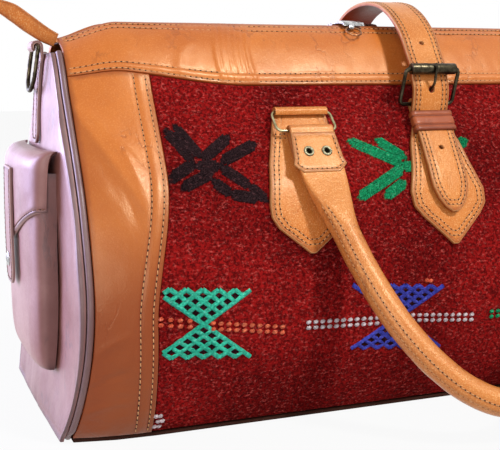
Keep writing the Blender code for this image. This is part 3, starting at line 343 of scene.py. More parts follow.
@dataclass
class Shell:
    """A mesh in the making: points with their place on the flat hide and distance from a cut edge."""

    points: list[Vector] = field(default_factory=list)
    faces: list[tuple[int, ...]] = field(default_factory=list)
    flats: list[Point2] = field(default_factory=list)
    rims: list[float] = field(default_factory=list)
    tones: list[float] = field(default_factory=list)

    def point(self, at: Vector, flat: Point2 = (0.0, 0.0), rim: float = 1.0, tone: float = 0.0) -> int:
        """Adds a point.

        Args:
            at: Its position.
            flat: Its place on the flat piece, in metres.
            rim: Its distance from the nearest cut edge.
            tone: How dark the finish is there, 0 to 1; on some pieces this is painted shade.

        Returns:
            The point's index.
        """
        self.points.append(at)
        self.flats.append(flat)
        self.rims.append(rim)
        self.tones.append(tone)
        return len(self.points) - 1

    def span(self, rows: Sequence[Sequence[int]], closed: bool = False) -> None:
        """Adds the faces between rows of points.

        Args:
            rows: Indices of the points, all rows as long.
            closed: Whether each row runs round.
        """
        for low, high in zip(rows, rows[1:]):
            for i in range(len(low) if closed else len(low) - 1):
                j = (i + 1) % len(low)
                self.faces.append((low[i], low[j], high[j], high[i]))

    def tube(self, rings: Sequence[Sequence[int]], closed: bool = False) -> None:
        """Joins rings of points into a tube.

        Args:
            rings: Indices of the points, all rings as long.
            closed: Whether the last ring meets the first; otherwise both ends are capped.
        """
        self.span(rings + ([rings[0]] if closed else []), closed=True)
        if not closed:
            self.faces += [tuple(rings[0]), tuple(rings[-1])]

    def walled(self, outer: Sequence[Sequence[int]], inner: Sequence[Sequence[int]]) -> None:
        """Joins an outer and an inner face round their rims.

        Args:
            outer: Rows of points of the outer face.
            inner: The same rows of the inner one.
        """
        self.span(outer)
        self.span([list(reversed(row)) for row in inner])
        self.span([inner[0], outer[0]])
        self.span([outer[-1], inner[-1]])
        self.span([[row[0] for row in outer], [row[0] for row in inner]])
        self.span([[row[-1] for row in inner], [row[-1] for row in outer]])

    def made(self, name: str, finish: Material, sharp: float = 60.0) -> Piece:
        """The finished object, faces outwards.

        Args:
            name: The piece's name.
            finish: Its material.
            sharp: Edges steeper than this many degrees stay sharp.

        Returns:
            The object, linked to the scene.
        """
        mesh = bpy.data.meshes.new(name)
        mesh.from_pydata(self.points, [], self.faces)
        order = [loop.vertex_index for loop in mesh.loops]
        flat = mesh.uv_layers.new(name="flat")
        flat.data.foreach_set("uv", [c for v in order for c in self.flats[v]])
        mesh.attributes.new("rim", "FLOAT", "POINT").data.foreach_set("value", self.rims)
        mesh.attributes.new("tone", "FLOAT", "POINT").data.foreach_set("value", self.tones)
        face_outwards(mesh)
        mesh.shade_smooth()
        mesh.set_sharp_from_angle(angle=math.radians(sharp))
        mesh.materials.append(finish)
        return linked(name, mesh)


def face_outwards(mesh: bpy.types.Mesh) -> None:
    """Turns every face of closed shells outwards."""
    bm = bmesh.new()
    bm.from_mesh(mesh)
    bmesh.ops.recalc_face_normals(bm, faces=bm.faces)
    bm.to_mesh(mesh)
    bm.free()


def linked(name: str, mesh: bpy.types.Mesh) -> Piece:
    """A new object of the mesh, in the scene."""
    made = bpy.data.objects.new(name, mesh)
    bpy.context.scene.collection.objects.link(made)
    return made


def plain(_a: float, _b: float, _rim: float) -> float:
    """No relief."""
    return 0.0


def graded(length: float, step: float, rounding: float) -> list[float]:
    """Stations from 0 to a length, a step apart and closer together where edges are rounded."""
    edge = [rounding * share for share in (0.0, 0.14, 0.48)]
    count = max(2, round((length - 2 * rounding) / step) + 1)
    return edge + spread(rounding, length - rounding, count) + [length - e for e in reversed(edge)]


@dataclass
class Sheet:
    """A sheet of hide or cloth, cut to four edges and laid on a surface.

    The lay gives a point from two coordinates and a lift, and at gives those coordinates from
    shares of the width and height.
    """

    lay: Placer
    at: Callable[[float, float], Point2]
    width: float
    height: float
    outer: float
    thickness: float
    step: float = 0.0017
    rounding: float = 0.0011
    relief: Relief = plain
    tone: Relief = plain
    rim: Relief | None = None
    back_tone: float = 0.15

    def edge_drop(self, rim: float) -> float:
        """How far the rounded edge falls at a distance from it."""
        inside = 1.0 - min(1.0, rim / self.rounding)
        return self.rounding * (1.0 - math.sqrt(max(0.0, 1.0 - inside * inside)))

    def place(self, shell: Shell, s: float, t: float, lift: float | None = None) -> int:
        """Adds one point of the sheet to a shell.

        Args:
            shell: The shell.
            s: Distance across.
            t: Distance up.
            lift: The lift, or None for the worked outer face.

        Returns:
            The point's index.
        """
        a, b = self.at(s / self.width, t / self.height)
        rim = min(s, self.width - s, t, self.height - t)
        if self.rim:
            rim = min(t, self.height - t, self.rim(a, b, rim))
        if lift is None:
            lift = self.outer + self.relief(a, b, rim) * min(1.0, rim / 0.002) - self.edge_drop(rim)
        at = self.lay(a, b, lift)
        if lift < self.outer - 0.9 * self.thickness:
            return shell.point(at, (a, b), 0.006, self.back_tone)
        return shell.point(at, (a, b), rim, self.tone(a, b, rim))

    def shell(self) -> Shell:
        """The closed mesh: a fine outer face, a wall round it, and a plain inner face."""
        shell = Shell()
        across = graded(self.width, self.step, self.rounding)
        up = graded(self.height, self.step, self.rounding)
        rows = [[self.place(shell, s, t) for s in across] for t in up]
        shell.span(rows)
        low = self.outer - self.thickness
        foot = [self.place(shell, s, 0.0, low) for s in across]
        head = [self.place(shell, s, self.height, low) for s in across]
        left = [foot[0]] + [self.place(shell, 0.0, t, low) for t in up[1:-1]] + [head[0]]
        right = [foot[-1]] + [self.place(shell, self.width, t, low) for t in up[1:-1]] + [head[-1]]
        shell.span([foot, rows[0]])
        shell.span([rows[-1], head])
        shell.span([[row[0] for row in rows], left])
        shell.span([right, [row[-1] for row in rows]])
        for k in range(1, len(left) - 2):
            shell.faces.append((left[k], left[k + 1], right[k + 1], right[k]))
        shell.faces.append((*foot, right[1], left[1]))
        shell.faces.append((*reversed(head), left[-2], right[-2]))
        return shell


@dataclass
class Ribbon:
    """A flat strap along a path, with its width one way throughout."""

    path: Sequence[Vector]
    across: Vector
    outline: Sequence[Point2]
    thickness: float
    outward: float = 1.0
    slant: Sequence[Point2] = ((0.0, 0.0),)
    line: list[Vector] = field(init=False)
    length: float = field(init=False)
    pace: float = field(init=False)

    def __post_init__(self) -> None:
        """Makes the path even."""
        self.line, _ = resampled(self.path, 0.0006)
        steps = [(b - a).length for a, b in zip(self.line, self.line[1:])]
        self.length = sum(steps)
        self.pace = self.length / len(steps)

    def half(self, v: float) -> float:
        """Half the width at a distance along."""
        return line_through(self.outline, v)

    def lay(self, u: float, v: float, lift: float) -> Vector:
        """A point of the strap.

        Args:
            u: Distance from the middle line.
            v: Distance along.
            lift: Distance outwards from the strap's middle layer.

        Returns:
            The point.
        """
        place = min(max(v / self.pace, 0.0), len(self.line) - 1.001)
        i = int(place)
        point = self.line[i].lerp(self.line[i + 1], place - i)
        before, after = self.line[max(0, i - 2)], self.line[min(len(self.line) - 1, i + 3)]
        normal = (after - before).cross(self.across).normalized() * self.outward
        return point + self.across * (u + line_through(self.slant, v)) + normal * lift

    def cosine(self, v: float) -> float:
        """How much nearer a slanted edge is than it looks straight across."""
        step = 0.001
        slope = (self.half(v + step) - self.half(max(0.0, v - step))) / (2 * step)
        return 1.0 / math.sqrt(1.0 + slope * slope)

    def reach(self, u: float, v: float, _rim: float) -> float:
        """Distance from the strap's side edges."""
        return max(0.0, (self.half(v) - abs(u)) * self.cosine(v))

    def seam(self, inset: float, start: float, stop: float, step: float = 0.002) -> list[Point2]:
        """A stitch line from one side round the tip to the other.

        Args:
            inset: Distance of the line from the edge.
            start: Distance along at which the line turns round the tip.
            stop: Distance along at which both of its ends lie.
            step: Distance between the line's points.

        Returns:
            Its points as (across, along).
        """
        side = []
        for v in spread(start, stop, max(3, round((stop - start) / step))):
            side.append((max(0.0, self.half(v) - inset / self.cosine(v)), v))
        turned = [(u, v) for u, v in side if u > 0.0006]
        tip = [(0.0, turned[0][1] - 0.0002)] if turned[0][0] < 0.006 else []
        return list(reversed(turned)) + tip + [(-u, v) for u, v in turned]

    def sheet(self, relief: Relief = plain, tone: Relief = plain, step: float = 0.0017) -> Sheet:
        """The strap as a sheet.

        Args:
            relief: Its relief by (across, along, rim).
            tone: Its darkness.
            step: The mesh's step.

        Returns:
            The sheet.
        """
        width = 2 * max(half for _, half in self.outline)
        return Sheet(
            lay=self.lay, at=lambda s, t: ((2 * s - 1) * self.half(t * self.length), t * self.length),
            width=width, height=self.length, outer=self.thickness / 2, thickness=self.thickness,
            step=step, rounding=0.0009, relief=relief, tone=tone, rim=self.reach,
        )


def sewn(insets: Sequence[float], depth: float = 0.00035) -> Relief:
    """The relief that rows of stitches press into hide.

    Args:
        insets: Distances of the rows from the edge.
        depth: How deep they press.

    Returns:
        The relief.
    """

    def relief(a: float, b: float, rim: float) -> float:
        """Grooves at the rows, soft swells, and finer ones beside the rows."""
        height = 0.00016 * ripple(a, b, 0.0, 0.020, 1.7) + 0.00007 * ripple(a, b, 0.0, 0.006, 4.1)
        for inset in insets:
            near = hump(rim - inset, 0.0010)
            height -= depth * near * (0.8 + 0.5 * ripple(a, b, 0.0, 0.0045, 9.0))
        return height

    return relief


def swept(
    name: str, loops: Sequence[Sequence[Vector]], finish: Material, closed: bool = False, sharp: float = 50.0,
) -> Piece:
    """A body from loops of points, capped or closed into a ring.

    Args:
        name: The piece's name.
        loops: The loops, all as long.
        finish: Its material.
        closed: Whether the last loop meets the first.
        sharp: The angle above which edges stay sharp.

    Returns:
        The object.
    """
    shell = Shell()
    shell.tube([[shell.point(p) for p in loop] for loop in loops], closed)
    return shell.made(name, finish, sharp)


def with_holes(piece: Piece, holes: Sequence[tuple[Vector, Vector, float, float]]) -> Piece:
    """Punches round holes through a piece.

    Args:
        piece: The piece.
        holes: For each hole its centre, axis, radius and half length.

    Returns:
        The piece, its mesh replaced.
    """
    loops_of = []
    for centre, axis, radius, reach in holes:
        turn = axis.normalized().to_track_quat("Z", "Y")
        for sign in (-1, 1):
            loops_of.append([
                centre + turn @ Vector((radius * math.cos(a), radius * math.sin(a), sign * reach))
                for a in spread(0.0, FULL_TURN, 17)[:-1]
            ])
    shell = Shell()
    for low, high in zip(loops_of[::2], loops_of[1::2]):
        shell.tube([[shell.point(p, rim=0.0, tone=1.0) for p in loop] for loop in (low, high)])
    cutter = shell.made(piece.name + "_punch", piece.data.materials[0])
    cut = piece.modifiers.new("punch", "BOOLEAN")
    cut.operation, cut.solver, cut.object = "DIFFERENCE", "EXACT", cutter
    settled(piece)
    bpy.data.objects.remove(cutter)
    return piece


def settled(piece: Piece) -> Piece:
    """Makes the evaluated piece its plain mesh and removes its modifiers.

    Args:
        piece: The piece.

    Returns:
        The same piece.
    """
    bpy.context.view_layer.update()
    evaluated = piece.evaluated_get(bpy.context.evaluated_depsgraph_get())
    mesh = bpy.data.meshes.new_from_object(evaluated)
    piece.modifiers.clear()
    piece.data = mesh
    mesh.name = piece.name
    return piece


# Node trees


def put(tree: Tree, kind: str, inputs: dict | None = None, **settings: object) -> Node:
    """Adds a node.

    Args:
        tree: The tree.
        kind: The node's type.
        inputs: Its inputs by name or number: a socket is linked, a value is set.
        settings: The node's own settings.

    Returns:
        The node.
    """
    made = tree.nodes.new(kind)
    for key, value in settings.items():
        setattr(made, key, value)
    for key, value in (inputs or {}).items():
        if isinstance(value, Socket):
            tree.links.new(value, made.inputs[key])
        else:
            made.inputs[key].default_value = value
    return made


class Unit(Enum):
    """What repeats along a line."""

    THREAD = "thread"
    HOLE = "hole"
    TOOTH = "tooth"


def cut_short(points: Sequence[Vector], outs: Sequence[Vector], share: float) -> Line:
    """A line of points and outward directions, without a share of its length at each end."""
    lengths = lengths_along(points)
    axes, turns = by_axis(lengths, points), by_axis(lengths, outs)
    stops = spread(share * lengths[-1], (1.0 - share) * lengths[-1], len(points))
    return [
        (Vector(line_through(axis, s) for axis in axes), Vector(line_through(turn, s) for turn in turns))
        for s in stops
    ]


class Kit:
    """The Geometry Nodes trees that repeat small parts along lines and sweep wires along them."""

    def __init__(self) -> None:
        """Builds each tree once."""
        self.rows = {unit: self.row_tree(unit) for unit in Unit}
        self.wire = self.wire_tree()

    def tree(self, name: str, sizes: Sequence[str]) -> tuple[Tree, Node]:
        """A new tree with its sockets.

        Args:
            name: The tree's name.
            sizes: The names of its sizes.

        Returns:
            The tree and its group input.
        """
        tree = bpy.data.node_groups.new(name, "GeometryNodeTree")
        tree.interface.new_socket("Geometry", in_out="INPUT", socket_type="NodeSocketGeometry")
        for size in sizes:
            tree.interface.new_socket(size, in_out="INPUT", socket_type="NodeSocketFloat")
        tree.interface.new_socket("Finish", in_out="INPUT", socket_type="NodeSocketMaterial")
        tree.interface.new_socket("Geometry", in_out="OUTPUT", socket_type="NodeSocketGeometry")
        return tree, put(tree, "NodeGroupInput")

    def ended(self, tree: Tree, given: Node, geometry: Socket) -> None:
        """Realizes the geometry, smooths it and gives it its finish.

        Args:
            tree: The tree.
            given: Its group input.
            geometry: What the tree has made.
        """
        real = put(tree, "GeometryNodeRealizeInstances", {"Geometry": geometry})
        smooth = put(tree, "GeometryNodeSetShadeSmooth", {"Geometry": real.outputs[0]})
        finish = {"Geometry": smooth.outputs[0], "Material": given.outputs["Finish"]}
        dressed = put(tree, "GeometryNodeSetMaterial", finish)
        put(tree, "NodeGroupOutput", {"Geometry": dressed.outputs[0]})

    def row_tree(self, unit: Unit) -> Tree:
        """Repeats a thread's bead, a needle hole or a zip's tooth along the lines of a mesh.

        Args:
            unit: What repeats.

        Returns:
            The tree.
        """
        tree, given = self.tree(f"row of {unit.value}s", ("Pitch", "Length", "Width", "Height", "Slant"))
        curve = put(tree, "GeometryNodeMeshToCurve", {"Mesh": given.outputs["Geometry"]})
        even = put(
            tree, "GeometryNodeResampleCurve",
            {"Curve": curve.outputs[0], "Length": given.outputs["Pitch"]}, mode="LENGTH",
        )
        size = put(tree, "ShaderNodeCombineXYZ", {
            "X": given.outputs["Length"], "Y": given.outputs["Width"], "Z": given.outputs["Height"],
        })
        turn = put(tree, "ShaderNodeCombineXYZ", {"Z": given.outputs["Slant"]})
        if unit is Unit.THREAD:
            form = put(tree, "GeometryNodeMeshUVSphere", {"Segments": 6, "Rings": 4, "Radius": 0.5})
        elif unit is Unit.HOLE:
            form = put(tree, "GeometryNodeMeshUVSphere", {"Segments": 5, "Rings": 3, "Radius": 0.5})
        else:
            form = put(tree, "GeometryNodeMeshCube", {"Size": (1.0, 1.0, 1.0)})
        inputs = {"Geometry": form.outputs["Mesh"], "Scale": size.outputs[0]}
        sized = put(tree, "GeometryNodeTransform", inputs)
        inputs = {"Geometry": sized.outputs[0], "Rotation": turn.outputs[0]}
        turned = put(tree, "GeometryNodeTransform", inputs)
        tangent = put(tree, "GeometryNodeInputTangent")
        outward = put(tree, "GeometryNodeInputNamedAttribute", {"Name": "out"}, data_type="FLOAT_VECTOR")
        along = put(tree, "FunctionNodeAlignRotationToVector", {"Vector": tangent.outputs[0]}, axis="X")
        upright = put(
            tree, "FunctionNodeAlignRotationToVector",
            {"Rotation": along.outputs[0], "Vector": outward.outputs[0]}, axis="Z", pivot_axis="X",
        )
        placed = put(tree, "GeometryNodeInstanceOnPoints", {
            "Points": even.outputs[0], "Instance": turned.outputs[0], "Rotation": upright.outputs[0],
        })
        self.ended(tree, given, placed.outputs[0])
        return tree

    def wire_tree(self) -> Tree:
        """Sweeps a round wire along the lines of a mesh."""
        tree, given = self.tree("wire", ("Radius", "Sides"))
        curve = put(tree, "GeometryNodeMeshToCurve", {"Mesh": given.outputs["Geometry"]})
        circle = put(tree, "GeometryNodeCurvePrimitiveCircle", {
            "Resolution": given.outputs["Sides"], "Radius": given.outputs["Radius"],
        })
        sweep = {"Curve": curve.outputs[0], "Profile Curve": circle.outputs[0], "Fill Caps": True}
        swept_wire = put(tree, "GeometryNodeCurveToMesh", sweep)
        self.ended(tree, given, swept_wire.outputs[0])
        return tree

    def made(
        self, name: str, tree: Tree, lines: Sequence[Line],
        finish: Material, closed: bool = False, **sizes: float,
    ) -> Piece:
        """Runs a tree along lines and keeps the plain mesh.

        Args:
            name: The piece's name.
            tree: The tree.
            lines: Lines of (point, outward direction).
            finish: The material.
            closed: Whether each line runs round.
            sizes: The tree's sizes by name, in lower case.

        Returns:
            The object.
        """
        points = [pair[0] for line in lines for pair in line]
        edges, start = [], 0
        for line in lines:
            edges += [(start + i, start + i + 1) for i in range(len(line) - 1)]
            if closed:
                edges.append((start + len(line) - 1, start))
            start += len(line)
        mesh = bpy.data.meshes.new(name)
        mesh.from_pydata(points, edges, [])
        outs = [c for line in lines for pair in line for c in pair[1]]
        mesh.attributes.new("out", "FLOAT_VECTOR", "POINT").data.foreach_set("vector", outs)
        piece = linked(name, mesh)
        modifier = piece.modifiers.new("row", "NODES")
        modifier.node_group = tree
        for item in tree.interface.items_tree:
            if item.in_out == "INPUT" and item.name.lower() in sizes:
                modifier[item.identifier] = float(sizes[item.name.lower()])
            if item.in_out == "INPUT" and item.name == "Finish":
                modifier[item.identifier] = finish
        settled(piece)
        if "out" in piece.data.attributes:
            piece.data.attributes.remove(piece.data.attributes["out"])
        face_outwards(piece.data)
        return piece

    def threads(
        self, name: str, lines: Sequence[Line], finish: Material,
        pitch: float = 0.0037, length: float = 0.0031, width: float = 0.00085, slant: float = 0.10,
    ) -> Piece:
        """Rows of stitches or knots.

        Args:
            name: The piece's name.
            lines: Their lines, with the outward direction at each point.
            finish: The thread's material.
            pitch: Distance from stitch to stitch.
            length: A stitch's length.
            width: The thread's width.
            slant: How far a stitch turns out of its line.

        Returns:
            The object.
        """
        return self.made(
            name, self.rows[Unit.THREAD], lines, finish,
            pitch=pitch, length=length, width=width, height=0.9 * width, slant=slant,
        )

    def pits(
        self, name: str, lines: Sequence[Line], finish: Material,
        pitch: float = 0.0039, size: float = 0.0015,
    ) -> Piece:
        """The dark needle holes between the stitches of the same lines: dark beads, painted shade in the
        holes.

        Args:
            name: The piece's name.
            lines: The stitches' lines.
            finish: The holes' material.
            pitch: Distance from stitch to stitch.
            size: A hole's width.

        Returns:
            The object.
        """
        between = []
        for line in lines:
            length = sum((b[0] - a[0]).length for a, b in zip(line, line[1:]))
            share = 0.5 / max(1, int(length / pitch))
            sunk = [point - out * 0.00025 for point, out in line]
            between.append(cut_short(sunk, [out for _, out in line], share))
        return self.made(
            name, self.rows[Unit.HOLE], between, finish,
            pitch=pitch, length=1.15 * size, width=size, height=0.7 * size, slant=0.0,
        )

    def wires(
        self, name: str, paths: Sequence[Sequence[Vector]], radius: float, finish: Material,
        closed: bool = False, sides: int = 14,
    ) -> Piece:
        """Round wires along paths.

        Args:
            name: The piece's name.
            paths: The paths.
            radius: The wire's radius.
            finish: Its material.
            closed: Whether the paths run round.
            sides: How many sides a wire has.

        Returns:
            The object.
        """
        lines = [[(point, UP) for point in path] for path in paths]
        return self.made(name, self.wire, lines, finish, closed, radius=radius, sides=sides)


# Finishes


def shader_group(name: str, ins: dict[str, float], outs: Sequence[str]) -> tuple[Tree, Node]:
    """A new shader group that reads a place and puts out values.

    Args:
        name: The group's name.
        ins: Its number inputs with their usual values.
        outs: Its outputs' names.

    Returns:
        The group and its input node.
    """
    tree = bpy.data.node_groups.new(name, "ShaderNodeTree")
    tree.interface.new_socket("Place", in_out="INPUT", socket_type="NodeSocketVector")
    for key, value in ins.items():
        made = tree.interface.new_socket(key, in_out="INPUT", socket_type="NodeSocketFloat")
        made.default_value = value
    for key in outs:
        tree.interface.new_socket(key, in_out="OUTPUT", socket_type="NodeSocketFloat")
    return tree, put(tree, "NodeGroupInput")


def math_node(tree: Tree, operation: str, *values: object) -> Socket:
    """The result of a maths node on sockets or numbers."""
    return put(tree, "ShaderNodeMath", dict(enumerate(values)), operation=operation).outputs[0]


def times(tree: Tree, a: object, b: object) -> Socket:
    """The product of two sockets or numbers."""
    return math_node(tree, "MULTIPLY", a, b)


def effect(tree: Tree, group: Tree, place: Socket, **sizes: float) -> Node:
    """A shader group in a tree, read at a place, with its inputs set; _ stands for a space."""
    made = put(tree, "ShaderNodeGroup", {}, node_tree=group)
    tree.links.new(place, made.inputs["Place"])
    for name, size in sizes.items():
        made.inputs[name.replace("_", " ")].default_value = size
    return made


def noise_at(
    tree: Tree, place: Socket, scale: object, detail: float = 4.0, rough: float = 0.55,
) -> Socket:
    """Noise at a place.

    Args:
        tree: The tree.
        place: The place's socket.
        scale: Swells a metre.
        detail: Octaves.
        rough: How strong the finer ones are.

    Returns:
        The noise's value socket.
    """
    inputs = {"Vector": place, "Scale": scale, "Detail": detail, "Roughness": rough}
    return put(tree, "ShaderNodeTexNoise", inputs).outputs[0]


def stretched(tree: Tree, place: Socket, scale: Point3, turn: float = 0.0) -> Socket:
    """A place stretched by axis, turned about Y first.

    Args:
        tree: The tree.
        place: The place's socket.
        scale: Scale by axis.
        turn: Radians about Y.

    Returns:
        The new place's socket.
    """
    inputs = {"Vector": place, "Scale": scale, "Rotation": (0.0, turn, 0.0)}
    return put(tree, "ShaderNodeMapping", inputs).outputs[0]


def ranged(
    tree: Tree, value: Socket, low: object, high: object,
    to_low: float = 0.0, to_high: float = 1.0,
) -> Socket:
    """A value mapped smoothly from one range to another and held at its ends.

    Args:
        tree: The tree.
        value: The value.
        low: Start of its range.
        high: End of its range.
        to_low: The result at the start.
        to_high: The result at the end.

    Returns:
        The result's socket.
    """
    inputs = {0: value, 1: low, 2: high, 3: to_low, 4: to_high}
    return put(tree, "ShaderNodeMapRange", inputs, interpolation_type="SMOOTHSTEP").outputs[0]


def blended(tree: Tree, share: object, low: object, high: object) -> Socket:
    """Two colours blended.

    Args:
        tree: The tree.
        share: How much of the second.
        low: The first, a socket or a colour.
        high: The second.

    Returns:
        The blend's socket.
    """
    made = tree.nodes.new("ShaderNodeMix")
    made.data_type, made.blend_type, made.clamp_factor = "RGBA", "MIX", True
    for socket, value in ((made.inputs[0], share), (made.inputs[6], low), (made.inputs[7], high)):
        if isinstance(value, Socket):
            tree.links.new(value, socket)
        else:
            socket.default_value = (*value, 1.0) if isinstance(value, tuple) else value
    return made.outputs[2]


class Effects:
    """The shader groups that several finishes share."""

    def __init__(self) -> None:
        """Builds each group once."""
        self.hide = self.hide_group()
        self.wool = self.wool_group()
        self.wear = self.wear_group()

    def hide_group(self) -> Tree:
        """The surface of hide: cloudy dye, small specks, creases and pores."""
        tree, given = shader_group(
            "hide surface", {"Pore size": 0.0011, "Creases": 1.0}, ("Clouds", "Specks", "Creases", "Height"),
        )
        place = given.outputs["Place"]
        clouds = ranged(tree, noise_at(tree, place, 17.0, 6.0, 0.62), 0.30, 0.70)
        specks = ranged(tree, noise_at(tree, place, 420.0, 5.0, 0.7), 0.34, 0.72)
        pull = stretched(tree, place, (46.0, 46.0, 17.0), 0.5)
        swells = math_node(tree, "SUBTRACT", noise_at(tree, pull, 1.0, 5.0, 0.6), 0.5)
        ridges = math_node(tree, "ABSOLUTE", swells)
        lines = ranged(tree, ridges, 0.0, 0.035, 1.0, 0.0)
        patchy = ranged(tree, noise_at(tree, place, 21.0, 2.0), 0.50, 0.66)
        creases = times(tree, times(tree, lines, patchy), given.outputs["Creases"])
        cells = math_node(tree, "DIVIDE", 1.0, given.outputs["Pore size"])
        inputs = {"Vector": place, "Scale": cells}
        pores = put(tree, "ShaderNodeTexVoronoi", inputs, feature="SMOOTH_F1").outputs[0]
        grain = noise_at(tree, place, times(tree, cells, 1.6), 3.0, 0.6)
        height = math_node(tree, "ADD", times(tree, pores, 0.7), times(tree, grain, 0.6))
        height = math_node(tree, "ADD", height, times(tree, noise_at(tree, place, 130.0, 3.0), 1.5))
        height = math_node(tree, "SUBTRACT", height, times(tree, creases, 1.6))
        found = {"Clouds": clouds, "Specks": specks, "Creases": creases, "Height": height}
        put(tree, "NodeGroupOutput", found)
        return tree

    def wool_group(self) -> Tree:
        """Coarse wool weft: lying strands, paler flecks, and the fuzz between them."""
        tree, given = shader_group("woven wool", {"Strand": 0.0016}, ("Strands", "Flecks", "Depth", "Height"))
        place = given.outputs["Place"]
        count = math_node(tree, "DIVIDE", 1.0, given.outputs["Strand"])
        lying = stretched(tree, place, (0.45, 0.45, 1.0))
        strands = noise_at(tree, lying, count, 4.0, 0.70)
        tufts = noise_at(tree, stretched(tree, place, (0.55, 0.55, 1.0)), times(tree, count, 0.85), 4.0, 0.72)
        flecks = ranged(tree, tufts, 0.53, 0.66)
        depth = ranged(tree, noise_at(tree, place, times(tree, count, 0.80), 4.0, 0.7), 0.36, 0.55)
        fuzz = noise_at(tree, place, times(tree, count, 3.2), 3.0, 0.6)
        height = math_node(tree, "ADD", strands, times(tree, fuzz, 0.45))
        height = math_node(tree, "ADD", height, times(tree, depth, 0.8))
        put(tree, "NodeGroupOutput", {"Strands": strands, "Flecks": flecks, "Depth": depth, "Height": height})
        return tree

    def wear_group(self) -> Tree:
        """Handled metal: tarnish clouds and fine scratches."""
        tree, given = shader_group("handled metal", {"Scratches": 900.0}, ("Tarnish", "Scratches"))
        place = given.outputs["Place"]
        tarnish = ranged(tree, noise_at(tree, place, 210.0, 6.0, 0.7), 0.36, 0.68)
        drawn = stretched(tree, place, (1.0, 0.16, 0.5), 0.7)
        fine = ranged(tree, noise_at(tree, drawn, given.outputs["Scratches"], 3.0, 0.6), 0.40, 0.62)
        put(tree, "NodeGroupOutput", {"Tarnish": tarnish, "Scratches": fine})
        return tree


def started(name: str) -> tuple[Material, Tree, Node, Socket]:
    """A new material.

    Args:
        name: Its name.

    Returns:
        The material, its tree, its shader and the socket of the object's own coordinates.
    """
    made = bpy.data.materials.new(name)
    made.use_nodes = True
    tree = made.node_tree
    return made, tree, tree.nodes["Principled BSDF"], put(tree, "ShaderNodeTexCoord").outputs["Object"]


def bumped(tree: Tree, shader: Node, height: Socket, distance: float, strength: float) -> None:
    """Feeds a height to a shader's normal.

    Args:
        tree: The tree.
        shader: The shader.
        height: The height's socket.
        distance: The height's size in metres.
        strength: How much of it shows.
    """
    bump = put(tree, "ShaderNodeBump", {"Height": height, "Distance": distance, "Strength": strength})
    tree.links.new(bump.outputs[0], shader.inputs["Normal"])


@dataclass(frozen=True)
class Finish:
    """A procedural material."""

    name: str

    def nodes(self, effects: Effects, tree: Tree, shader: Node, place: Socket) -> None:
        """Builds the nodes that feed the shader."""
        raise NotImplementedError

    def made(self, effects: Effects) -> Material:
        """Builds the material.

        Args:
            effects: The shared groups.

        Returns:
            The material.
        """
        made, tree, shader, place = started(self.name)
        self.nodes(effects, tree, shader, place)
        return made


@dataclass(frozen=True)
class HideFinish(Finish):
    """Dyed and waxed leather."""

    light: Colour
    middle: Colour
    dark: Colour
    roughness: float
    edge: Colour
    coat: float = 0.70
    coat_roughness: float = 0.24
    specular: float = 0.20
    tint: Colour = (1.0, 1.0, 1.0)
    coat_index: float = 1.5
    pores: float = 0.0011
    bump: float = 0.35
    creases: float = 1.0
    grain: float = 0.15
    fleck: Colour = (0.930, 0.520, 0.210)
    cut_edge: bool = False
    speck_share: float = 0.30
    crease_share: float = 0.45
    rim_band: Point2 = (0.0008, 0.0052)
    rim_share: float = 0.62
    edge_band: Point2 = (0.0004, 0.0011)
    edge_share: float = 0.85
    height: float = 0.00030

    def nodes(self, effects: Effects, tree: Tree, shader: Node, place: Socket) -> None:
        """Builds the nodes."""
        hide = effect(tree, effects.hide, place, Pore_size=self.pores, Creases=self.creases)
        rim = put(tree, "ShaderNodeAttribute", attribute_name="rim").outputs["Fac"]
        tone = put(tree, "ShaderNodeAttribute", attribute_name="tone").outputs["Fac"]
        wobble = times(tree, math_node(tree, "SUBTRACT", noise_at(tree, place, 150.0), 0.5), 0.004)
        near = math_node(tree, "ADD", rim, wobble)
        colour = blended(tree, hide.outputs["Clouds"], self.middle, self.light)
        colour = blended(tree, times(tree, hide.outputs["Specks"], self.speck_share), colour, self.middle)
        fine = ranged(tree, noise_at(tree, place, 900.0, 3.0, 0.75), 0.50, 0.66)
        colour = blended(tree, times(tree, fine, self.grain), colour, self.fleck)
        colour = blended(tree, times(tree, hide.outputs["Creases"], self.crease_share), colour, self.dark)
        rubbed = ranged(tree, near, *self.rim_band, self.rim_share, 0.0)
        colour = blended(tree, rubbed, colour, self.dark)
        # The tone darkens the colour; on some pieces it carries painted shade.
        colour = blended(tree, ranged(tree, tone, 0.0, 1.0, 0.0, 1.0), colour, self.dark)
        if self.cut_edge:
            raw = ranged(tree, rim, *self.edge_band, self.edge_share, 0.0)
            colour = blended(tree, raw, colour, self.edge)
        tree.links.new(colour, shader.inputs["Base Color"])
        rough = math_node(tree, "MULTIPLY_ADD", hide.outputs["Specks"], 0.10, self.roughness)
        rough = math_node(tree, "MULTIPLY_ADD", hide.outputs["Clouds"], -0.08, rough)
        tree.links.new(rough, shader.inputs["Roughness"])
        gloss = math_node(tree, "MULTIPLY_ADD", hide.outputs["Clouds"], 0.45 * self.coat, 0.60 * self.coat)
        gloss = times(tree, gloss, ranged(tree, tone, 0.0, 1.0, 1.0, 0.35))
        tree.links.new(gloss, shader.inputs["Coat Weight"])
        shader.inputs["Specular IOR Level"].default_value = self.specular
        shader.inputs["Specular Tint"].default_value = (*self.tint, 1.0)
        shader.inputs["Coat Roughness"].default_value = self.coat_roughness
        shader.inputs["Coat IOR"].default_value = self.coat_index
        bumped(tree, shader, hide.outputs["Height"], self.height, self.bump)


